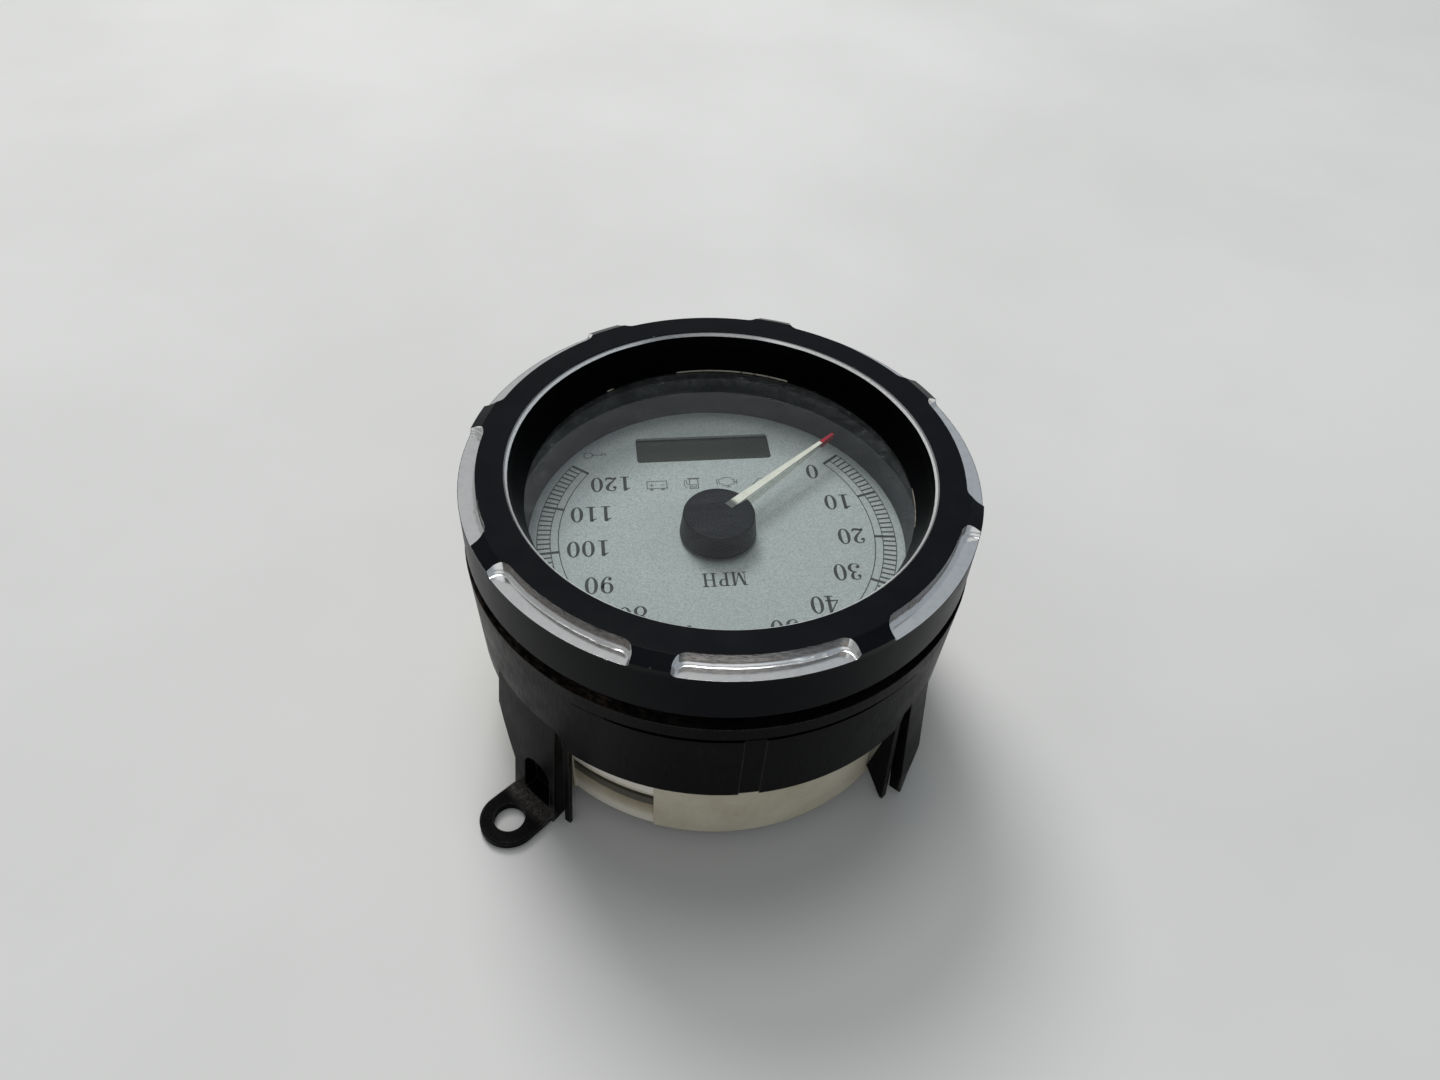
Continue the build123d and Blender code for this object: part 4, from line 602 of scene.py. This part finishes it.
# name, dark and light tones, size of the drift in mm, roughness, depth and size of the grain in mm, pieces
for name, dark, light, drift, rough, depth, fine, *pieces in (
    ("tape_black_foam", (0.012, 0.012, 0.012), (0.03, 0.03, 0.029), 2, (0.8, 0.95), 0.05, 0.3,
     "bezel_tape_ring"),
    ("gasket_black_rubber", (0.011, 0.011, 0.012), (0.022, 0.022, 0.022), 5, (0.55, 0.75), 0.02, 0.4,
     "lens_gasket"),
    ("bracket_grey_foam", (0.030, 0.024, 0.020), (0.125, 0.095, 0.078), 1.6, (0.85, 0.97), 0.08, 0.35,
     "bracket_gasket"),
    ("housing_white_plastic", (0.66, 0.66, 0.63), (0.78, 0.78, 0.76), 9, (0.35, 0.5), 0.01, 0.4,
     "light_housing"),
    ("display_frame_black", (0.014, 0.014, 0.015), (0.028, 0.028, 0.03), 4, (0.4, 0.6), 0.01, 0.4,
     "lcd_frame"),
    ("guide_milky_acrylic", (0.60, 0.63, 0.62), (0.74, 0.76, 0.74), 5, (0.15, 0.3), 0.005, 0.4,
     "lcd_light_guide"),
    ("zebra_grey_rubber", (0.05, 0.05, 0.052), (0.30, 0.30, 0.30), 0.3, (0.6, 0.8), 0.01, 0.4,
     "zebra_strips"),
    ("led_diffuse_plastic", (0.70, 0.69, 0.60), (0.82, 0.81, 0.74), 1.5, (0.25, 0.4), 0.004, 0.4,
     "dial_leds", "telltale_leds"),
    ("header_black_nylon", (0.012, 0.012, 0.012), (0.028, 0.028, 0.029), 3, (0.38, 0.55), 0.012, 0.4,
     "board_link_header", "connector_header"),
    ("chip_black_epoxy", (0.012, 0.012, 0.013), (0.03, 0.03, 0.031), 2, (0.45, 0.65), 0.02, 0.4,
     "microcontroller", "driver_chips", "voltage_regulator"),
    ("seal_orange_silicone", (0.36, 0.075, 0.02), (0.50, 0.13, 0.035), 3, (0.4, 0.6), 0.01, 0.4,
     "connector_gasket"),
    ("vent_grey_membrane", (0.045, 0.045, 0.047), (0.09, 0.09, 0.092), 1.5, (0.6, 0.8), 0.03, 0.25,
     "vent_plug"),
    ("bobbin_natural_nylon", (0.52, 0.50, 0.42), (0.64, 0.62, 0.54), 3, (0.35, 0.5), 0.008, 0.4,
     "bobbin_lower", "bobbin_upper"),
    ("rotor_dark_ferrite", (0.035, 0.034, 0.036), (0.075, 0.072, 0.072), 0.8, (0.45, 0.7), 0.02, 0.4,
     "rotor_magnet"),
):
    dress(varied(name, dark, light, drift * MM, rough, depth * MM, fine * MM), *pieces)

dress(varied("cap_satin_black", (0.0055, 0.0066, 0.0094), (0.0076, 0.0089, 0.0120), 5 * MM, (0.40, 0.46),
             0.0003 * MM, 0.5 * MM, Specular_IOR_Level=0.15), "pointer_hub_cap")

# name, dark and light tones, roughness, size of the drift in mm, stretch of the brush marks, pieces
for name, dark, light, rough, drift, drag, *pieces in (
    ("screws_zinc_steel", (0.50, 0.51, 0.52), (0.72, 0.73, 0.74), (0.22, 0.4), 1.5, (1, 1, 1),
     "display_screws"),
    ("spacers_turned_brass", (0.60, 0.42, 0.16), (0.76, 0.56, 0.25), (0.18, 0.34), 1.5, (1, 1, 20),
     "board_spacers", "shaft_bush", "pointer_bushing"),
    ("pins_gilt", (0.78, 0.55, 0.20), (0.90, 0.68, 0.32), (0.15, 0.3), 1.5, (1, 1, 1), "board_link_pins"),
    ("pins_tinned", (0.55, 0.55, 0.54), (0.74, 0.74, 0.73), (0.25, 0.42), 1.5, (1, 1, 1),
     "connector_pins", "movement_terminals"),
    ("capacitor_sleeved_can", (0.42, 0.43, 0.45), (0.62, 0.63, 0.64), (0.25, 0.4), 1.5, (1, 1, 1),
     "board_capacitors"),
    ("movement_plated_can", (0.46, 0.46, 0.47), (0.64, 0.64, 0.65), (0.25, 0.42), 5, (1, 1, 1),
     "movement_can"),
    ("shaft_ground_steel", (0.55, 0.56, 0.57), (0.74, 0.75, 0.76), (0.12, 0.25), 1.5, (1, 1, 25),
     "pointer_shaft"),
):
    dress(metal(name, dark, light, rough, drift * MM, drag), *pieces)


# ---------------------------------------------------------------- printed dial
DIAL_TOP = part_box("dial_plate")[1].z
INK, THIN_INK = 0.03 * MM, 0.02 * MM
# the scale in degrees from +X, and its rings in mm
TOP_SPEED, ZERO_ANGLE, STEP = 120, 217.5, 2.125
INNER_RING, MIDDLE_RING, OUTER_RING, RING_LINE = 42.9, 45.1, 48.6, 0.24
FIGURE_HEIGHT, FIGURE_STRETCH, UNIT_HEIGHT = 5.7, 1.1, 4.7
# the symbols in mm: their thin line, and the level of the row of four
LINE, ROW = 0.22, -20.2


def ink_finish(name, dark, light):
    return varied(name, dark, light, 0.8 * MM, (0.45, 0.65), 0.004 * MM, 0.2 * MM)


figures_ink = ink_finish("ink_dark_grey", (0.022, 0.024, 0.027), (0.042, 0.045, 0.048))
faint_ink = ink_finish("ink_faint_grey", (0.080, 0.088, 0.089), (0.13, 0.14, 0.14))


def print_on_dial(name, faces, material, thickness):
    """A flat printed shape: each face is a ring of plan points in mm, on top of its ink."""
    mesh = bmesh.new()
    for ring in faces:
        mesh.faces.new([mesh.verts.new((x * MM, y * MM, DIAL_TOP + thickness)) for x, y in ring])
    bmesh.ops.recalc_face_normals(mesh, faces=mesh.faces)
    for f in mesh.faces:
        if f.normal.z < 0:
            f.normal_flip()
    data = bpy.data.meshes.new(name)
    mesh.to_mesh(data)
    mesh.free()
    data.materials.append(material)
    thing = bpy.data.objects.new(name, data)
    bpy.context.scene.collection.objects.link(thing)
    return thing


def on_dial(radius, degrees):
    a = math.radians(degrees)
    return radius * math.cos(a), radius * math.sin(a)


def tick(value, inner, outer, width):
    a = math.radians(ZERO_ANGLE - STEP * value)
    c, s = math.cos(a), math.sin(a)
    h = width / 2
    return [(inner * c + h * s, inner * s - h * c), (outer * c + h * s, outer * s - h * c),
            (outer * c - h * s, outer * s + h * c), (inner * c - h * s, inner * s + h * c)]


def scale_arc(radius, width, steps=170):
    """A line of the scale, from zero to the top speed."""
    quads = []
    for i in range(steps):
        a, b = (ZERO_ANGLE + (-TOP_SPEED * STEP) * k / steps for k in (i, i + 1))
        quads.append([on_dial(radius - width / 2, a), on_dial(radius + width / 2, a),
                      on_dial(radius + width / 2, b), on_dial(radius - width / 2, b)])
    return quads


def smooth_path(points, steps=8):
    """Catmull-Rom through (x, y, width) points."""
    line = []
    ends = [points[0], *points, points[-1]]
    for i in range(1, len(ends) - 2):
        p0, p1, p2, p3 = ends[i - 1:i + 3]
        for k in range(steps):
            t = k / steps
            line.append(tuple(0.5 * (2 * b + (c - a) * t + (2 * a - 5 * b + 4 * c - d) * t * t
                                     + (3 * b - a - 3 * c + d) * t ** 3)
                              for a, b, c, d in zip(p0, p1, p2, p3)))
    line.append(points[-1])
    return line


def stroke(points):
    """A line of quads through (x, y, width) points."""
    sides = []
    for i, (x, y, w) in enumerate(points):
        xa, ya = points[max(i - 1, 0)][:2]
        xb, yb = points[min(i + 1, len(points) - 1)][:2]
        length = math.hypot(xb - xa, yb - ya) or 1.0
        nx, ny = -(yb - ya) / length, (xb - xa) / length
        sides.append(((x + nx * w / 2, y + ny * w / 2), (x - nx * w / 2, y - ny * w / 2)))
    return [[a[0], a[1], b[1], b[0]] for a, b in zip(sides, sides[1:])]


def ribbon(*points):
    return stroke(smooth_path(points))


def thin_lines(*lines):
    """Straight lines of one width through (x, y) points."""
    return [quad for line in lines for quad in stroke([(x, y, LINE) for x, y in line])]


def disc(x, y, r, steps=18):
    turns = [2 * math.pi * k / steps for k in range(steps)]
    return [[(x + r * math.cos(a), y + r * math.sin(a)) for a in turns]]


def oval(cx, cy, rx, ry, thin, thick, steps=40):
    """An upright loop, thin at top and bottom and thick at the sides."""
    line = []
    for k in range(steps + 1):
        a = 2 * math.pi * k / steps
        w = thin + (thick - thin) * abs(math.cos(a)) ** 1.5
        line.append((cx + (rx - w / 2) * math.cos(a), cy + (ry - w / 2 * 0.9) * math.sin(a), w))
    return stroke(line)


def bars(*boxes):
    return [[(x0, y0), (x1, y0), (x1, y1), (x0, y1)] for x0, y0, x1, y1 in boxes]


def outline(x0, y0, x1, y1, w):
    return bars((x0, y0, x1, y0 + w), (x0, y1 - w, x1, y1), (x0, y0, x0 + w, y1), (x1 - w, y0, x1, y1))


# each figure is drawn in a box 0.56 wide and 1 high, with thick and thin strokes and flat serifs
SIX = (oval(0.29, 0.31, 0.26, 0.33, 0.05, 0.145) + disc(0.42, 0.84, 0.075)
       + ribbon((0.10, 0.30, 0.14), (0.11, 0.58, 0.13), (0.18, 0.82, 0.09), (0.31, 0.97, 0.05),
                (0.42, 0.94, 0.05), (0.48, 0.86, 0.05)))
GLYPHS = {
    "0": oval(0.28, 0.5, 0.27, 0.51, 0.055, 0.15),
    "1": (bars((0.21, 0.0, 0.36, 1.0), (0.08, 0.0, 0.49, 0.06))
          + [[(0.06, 0.86), (0.06, 0.80), (0.22, 0.84), (0.28, 1.0), (0.22, 1.0), (0.16, 0.90)]]),
    "2": (disc(0.12, 0.74, 0.085)
          + ribbon((0.06, 0.76, 0.05), (0.13, 0.93, 0.06), (0.27, 0.975, 0.06), (0.42, 0.88, 0.12),
                   (0.44, 0.70, 0.15), (0.34, 0.48, 0.12), (0.18, 0.28, 0.08), (0.06, 0.10, 0.06))
          + ribbon((0.03, 0.06, 0.10), (0.16, 0.12, 0.13), (0.32, 0.075, 0.15), (0.45, 0.09, 0.13),
                   (0.52, 0.22, 0.05))),
    "3": (disc(0.12, 0.77, 0.08) + disc(0.11, 0.22, 0.085)
          + ribbon((0.07, 0.80, 0.05), (0.14, 0.95, 0.05), (0.27, 0.985, 0.05), (0.40, 0.90, 0.12),
                   (0.41, 0.72, 0.14), (0.34, 0.57, 0.08), (0.20, 0.53, 0.05))
          + ribbon((0.20, 0.53, 0.05), (0.36, 0.50, 0.08), (0.46, 0.36, 0.14), (0.46, 0.20, 0.15),
                   (0.38, 0.06, 0.10), (0.25, 0.02, 0.05), (0.12, 0.05, 0.05), (0.05, 0.18, 0.05))),
    "4": (bars((0.32, 0.0, 0.46, 1.0), (0.20, 0.0, 0.56, 0.055), (0.01, 0.25, 0.55, 0.325))
          + stroke([(0.40, 1.0, 0.06), (0.20, 0.62, 0.055), (0.02, 0.29, 0.06)])),
    "5": (bars((0.09, 0.52, 0.145, 0.97)) + disc(0.11, 0.22, 0.085)
          + [[(0.09, 0.99), (0.09, 0.86), (0.30, 0.84), (0.46, 0.90), (0.47, 1.0), (0.30, 0.955)]]
          + ribbon((0.10, 0.52, 0.05), (0.20, 0.61, 0.06), (0.33, 0.61, 0.08), (0.45, 0.48, 0.14),
                   (0.46, 0.26, 0.15), (0.38, 0.08, 0.10), (0.25, 0.02, 0.05), (0.12, 0.05, 0.05),
                   (0.05, 0.18, 0.05))),
    "6": SIX,
    "7": (ribbon((0.05, 0.74, 0.05), (0.08, 0.88, 0.10), (0.18, 0.94, 0.14), (0.32, 0.89, 0.14),
                 (0.48, 0.96, 0.07), (0.52, 0.99, 0.05))
          + ribbon((0.51, 0.97, 0.05), (0.38, 0.66, 0.09), (0.26, 0.36, 0.14), (0.22, 0.08, 0.17),
                   (0.22, 0.0, 0.16))),
    "8": oval(0.28, 0.27, 0.265, 0.285, 0.05, 0.135) + oval(0.28, 0.76, 0.22, 0.245, 0.05, 0.12),
    "9": [[(0.56 - x, 1.0 - y) for x, y in ring] for ring in SIX],
    "M": (bars((0.10, 0.0, 0.145, 1.0), (0.66, 0.0, 0.80, 1.0), (0.0, 0.0, 0.24, 0.06),
               (0.57, 0.0, 0.90, 0.06), (0.0, 0.94, 0.20, 1.0), (0.68, 0.94, 0.90, 1.0))
          + stroke([(0.16, 0.98, 0.15), (0.43, 0.06, 0.14)])
          + stroke([(0.68, 0.98, 0.05), (0.43, 0.06, 0.05)])),
    "P": (bars((0.10, 0.0, 0.24, 1.0), (0.0, 0.0, 0.36, 0.06), (0.0, 0.94, 0.30, 1.0))
          + ribbon((0.20, 0.97, 0.06), (0.38, 0.965, 0.07), (0.51, 0.88, 0.13), (0.53, 0.72, 0.14),
                   (0.46, 0.56, 0.10), (0.34, 0.50, 0.06), (0.20, 0.50, 0.06))),
    "H": bars((0.10, 0.0, 0.24, 1.0), (0.56, 0.0, 0.70, 1.0), (0.0, 0.0, 0.34, 0.06),
              (0.46, 0.0, 0.80, 0.06), (0.0, 0.94, 0.34, 1.0), (0.46, 0.94, 0.80, 1.0),
              (0.2, 0.47, 0.6, 0.53)),
}
WIDTHS = {"M": 0.98, "P": 0.72, "H": 0.84}
FIGURE_WIDTH = 0.63


def lettering(text, centre, height, wide=1.0):
    """Upright marks set on a straight line about centre."""
    widths = [WIDTHS.get(mark, FIGURE_WIDTH) for mark in text]
    x = -sum(widths) / 2 + 0.03
    rings = []
    for mark, width in zip(text, widths):
        rings += [[(centre[0] + (x + px) * height * wide, centre[1] + (py - 0.5) * height)
                   for px, py in ring] for ring in GLYPHS[mark]]
        x += width
    return rings


def shifted(rings, dx, dy, scale):
    return [[(x * scale + dx, y * scale + dy) for x, y in ring] for ring in rings]


scale_marks = scale_arc(INNER_RING, 0.26)
numerals = []
for value in range(TOP_SPEED + 1):
    if value % 10:
        scale_marks += [tick(value, MIDDLE_RING, OUTER_RING, 0.52)]
        continue
    scale_marks += [tick(value, INNER_RING - 0.12, OUTER_RING, 0.85)]
    reach = 37.8 if value == 0 else 36.5 if value < 100 else 35.2
    centre = on_dial(reach, ZERO_ANGLE - STEP * value)
    numerals += lettering(str(value), centre, FIGURE_HEIGHT, FIGURE_STRETCH)
faint_marks = scale_arc(MIDDLE_RING, RING_LINE) + scale_arc(OUTER_RING, RING_LINE)
unit_word = lettering("MPH", (0.0, 16.4), UNIT_HEIGHT)

battery = outline(-2.4, -1.4, 2.4, 1.2, LINE) + bars(
    (-1.7, 1.2, -0.9, 1.7), (0.9, 1.2, 1.7, 1.7), (-1.8, -0.1, -0.8, 0.1), (0.8, -0.1, 1.8, 0.1),
    (1.2, -0.5, 1.4, 0.5))
pump = (outline(-1.5, -1.7, 0.7, 1.7, 0.24) + bars((-1.9, -1.95, 1.1, -1.65))
        + outline(-1.05, 0.3, 0.25, 1.2, 0.18)
        + ribbon((0.7, 0.2, 0.2), (1.25, 0.1, 0.2), (1.3, -1.0, 0.2), (1.75, -1.1, 0.2), (1.85, 0.4, 0.2),
                 (1.3, 1.4, 0.2)))
engine = thin_lines(
    [(-2.2, -0.9), (-2.2, 0.7)], [(-2.2, 0.0), (-1.6, 0.0)],
    [(-1.6, -0.9), (-1.6, 0.7), (-0.9, 0.7), (-0.5, 1.1), (1.0, 1.1), (1.3, 0.5), (1.9, 0.5), (1.9, -1.1),
     (1.2, -1.1), (0.8, -1.6), (-0.9, -1.6), (-1.2, -0.9), (-1.6, -0.9)],
    [(-0.2, 1.1), (-0.2, 1.6)], [(-0.8, 1.65), (0.5, 1.65)], [(2.4, -1.2), (2.4, 0.9)])
oil_can = thin_lines(
    [(-1.9, 0.5), (1.0, 0.6), (2.4, 1.2)], [(-1.9, 0.5), (-1.7, -0.8), (0.8, -0.8), (2.4, 1.2)],
    [(-1.9, 0.3), (-2.6, 0.7)], [(-0.6, 0.55), (-0.6, 1.1)], [(-1.2, 1.15), (0.0, 1.15)])
key = oval(1.7, 0.0, 1.2, 1.1, 0.24, 0.26, 24) + bars(
    (-2.9, -0.14, 0.6, 0.14), (-1.85, -0.8, -1.6, 0.0), (-2.65, -0.8, -2.4, 0.0))
symbols = (shifted(battery, 15, ROW, 1.22) + shifted(pump, 5, ROW, 1.2) + shifted(engine, -5, ROW, 1.22)
           + shifted(oil_can, -15, ROW, 1.2) + shifted(key, 31.9, -33.8, 1.15))

for name, rings, ink, rise in (
    ("dial_scale_lines", faint_marks, figures_ink, THIN_INK), ("dial_scale", scale_marks, figures_ink, INK),
    ("dial_figures", numerals, figures_ink, INK), ("dial_unit", unit_word, figures_ink, INK),
    ("dial_symbols", symbols, faint_ink, INK),
):
    thing = print_on_dial(name, rings, ink, rise)
    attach(thing, "instrument")


# ---------------------------------------------------------------- floor, light and camera
def floor_finish():
    """Plain pale floor with a faint drift."""
    g = Graph("floor_pale_plain", IOR=1.4)
    cloud = g.noise(0.20, 4.0, 0.55)
    g.colour(g.mix(g.span(cloud, 0.3, 0.7), (0.545, 0.545, 0.53), (0.59, 0.59, 0.575)))
    g.roughness(g.span(cloud, 0.3, 0.7, 0.55, 0.7))
    return g.material


def make_floor():
    mesh = bmesh.new()
    bmesh.ops.create_grid(mesh, x_segments=8, y_segments=8, size=4.0)
    data = bpy.data.meshes.new("floor")
    mesh.to_mesh(data)
    mesh.free()
    data.materials.append(floor_finish())
    floor = bpy.data.objects.new("floor", data)
    bpy.context.scene.collection.objects.link(floor)
    floor.location.z = cad_low.z - 0.02 * MM


def lamp(name, location, target, size, watts, glossy=True):
    data = bpy.data.lights.new(name, "AREA")
    data.shape = "DISK"
    data.size = size
    data.energy = watts
    thing = bpy.data.objects.new(name, data)
    thing.location = location
    thing.rotation_mode = "QUATERNION"
    thing.rotation_quaternion = (Vector(target) - Vector(location)).to_track_quat("-Z", "Y")
    thing.visible_glossy = glossy
    bpy.context.scene.collection.objects.link(thing)


make_floor()
middle = (cad_low + cad_high) / 2
lamp("ceiling_soft", (0.04, -0.45, 1.95), middle, 0.72, 10.5)
lamp("far_soft", (0.32, -1.28, 1.72), middle, 0.85, 31.0, glossy=False)

world = bpy.data.worlds.new("studio")
room = NodeTree(world, "Generated")
sky = room.tree.nodes["Background"]
# two broad brighter zones, over the far and the near side, like pale walls that the bare metal mirrors
strength = 0.0
for toward, base, gain in (((0.12, -0.80, 0.62), 0.31, 0.13), ((0.10, 0.76, 0.64), 0.0, 0.42)):
    facing = room.add("ShaderNodeVectorMath", operation="DOT_PRODUCT")
    room.link(room.place, facing.inputs[0])
    facing.inputs[1].default_value = Vector(toward).normalized()
    strength = room.plus(strength, room.span(facing.outputs["Value"], 0.80, 0.99, base, base + gain))
room.link(strength, sky.inputs["Strength"])
# the room is a little bluer to one side
bluer = room.span(room.split()[0], -0.10, -0.36, curve="LINEAR")
room.link(room.mix(bluer, (0.93, 0.95, 0.97), (0.87, 0.96, 1.05)), sky.inputs["Color"])
bpy.context.scene.world = world

# the camera stands over the near edge of the cluster, looking down at it
CAMERA_AT = Vector((33.52, 204.60, 273.26)) * MM
PITCH, HEADING, ROLL = math.radians(46.32), math.radians(170.5), math.radians(4.04)
right = Vector((math.cos(HEADING), math.sin(HEADING), 0.0))
ahead = Vector((-math.sin(HEADING) * math.cos(PITCH), math.cos(HEADING) * math.cos(PITCH),
                -math.sin(PITCH)))
down = ahead.cross(right)
across = right * math.cos(ROLL) - down * math.sin(ROLL)
lower = right * math.sin(ROLL) + down * math.cos(ROLL)
turn = Matrix((across, -lower, -ahead)).transposed()
view = bpy.data.cameras.new("camera")
view.lens = 27.5
view.sensor_width = 36.0
view.clip_start = 0.01
camera = bpy.data.objects.new("camera", view)
camera.matrix_world = Matrix.Translation(CAMERA_AT) @ turn.to_4x4()
bpy.context.scene.collection.objects.link(camera)
bpy.context.scene.camera = camera
bpy.context.scene.view_settings.view_transform = "Standard"
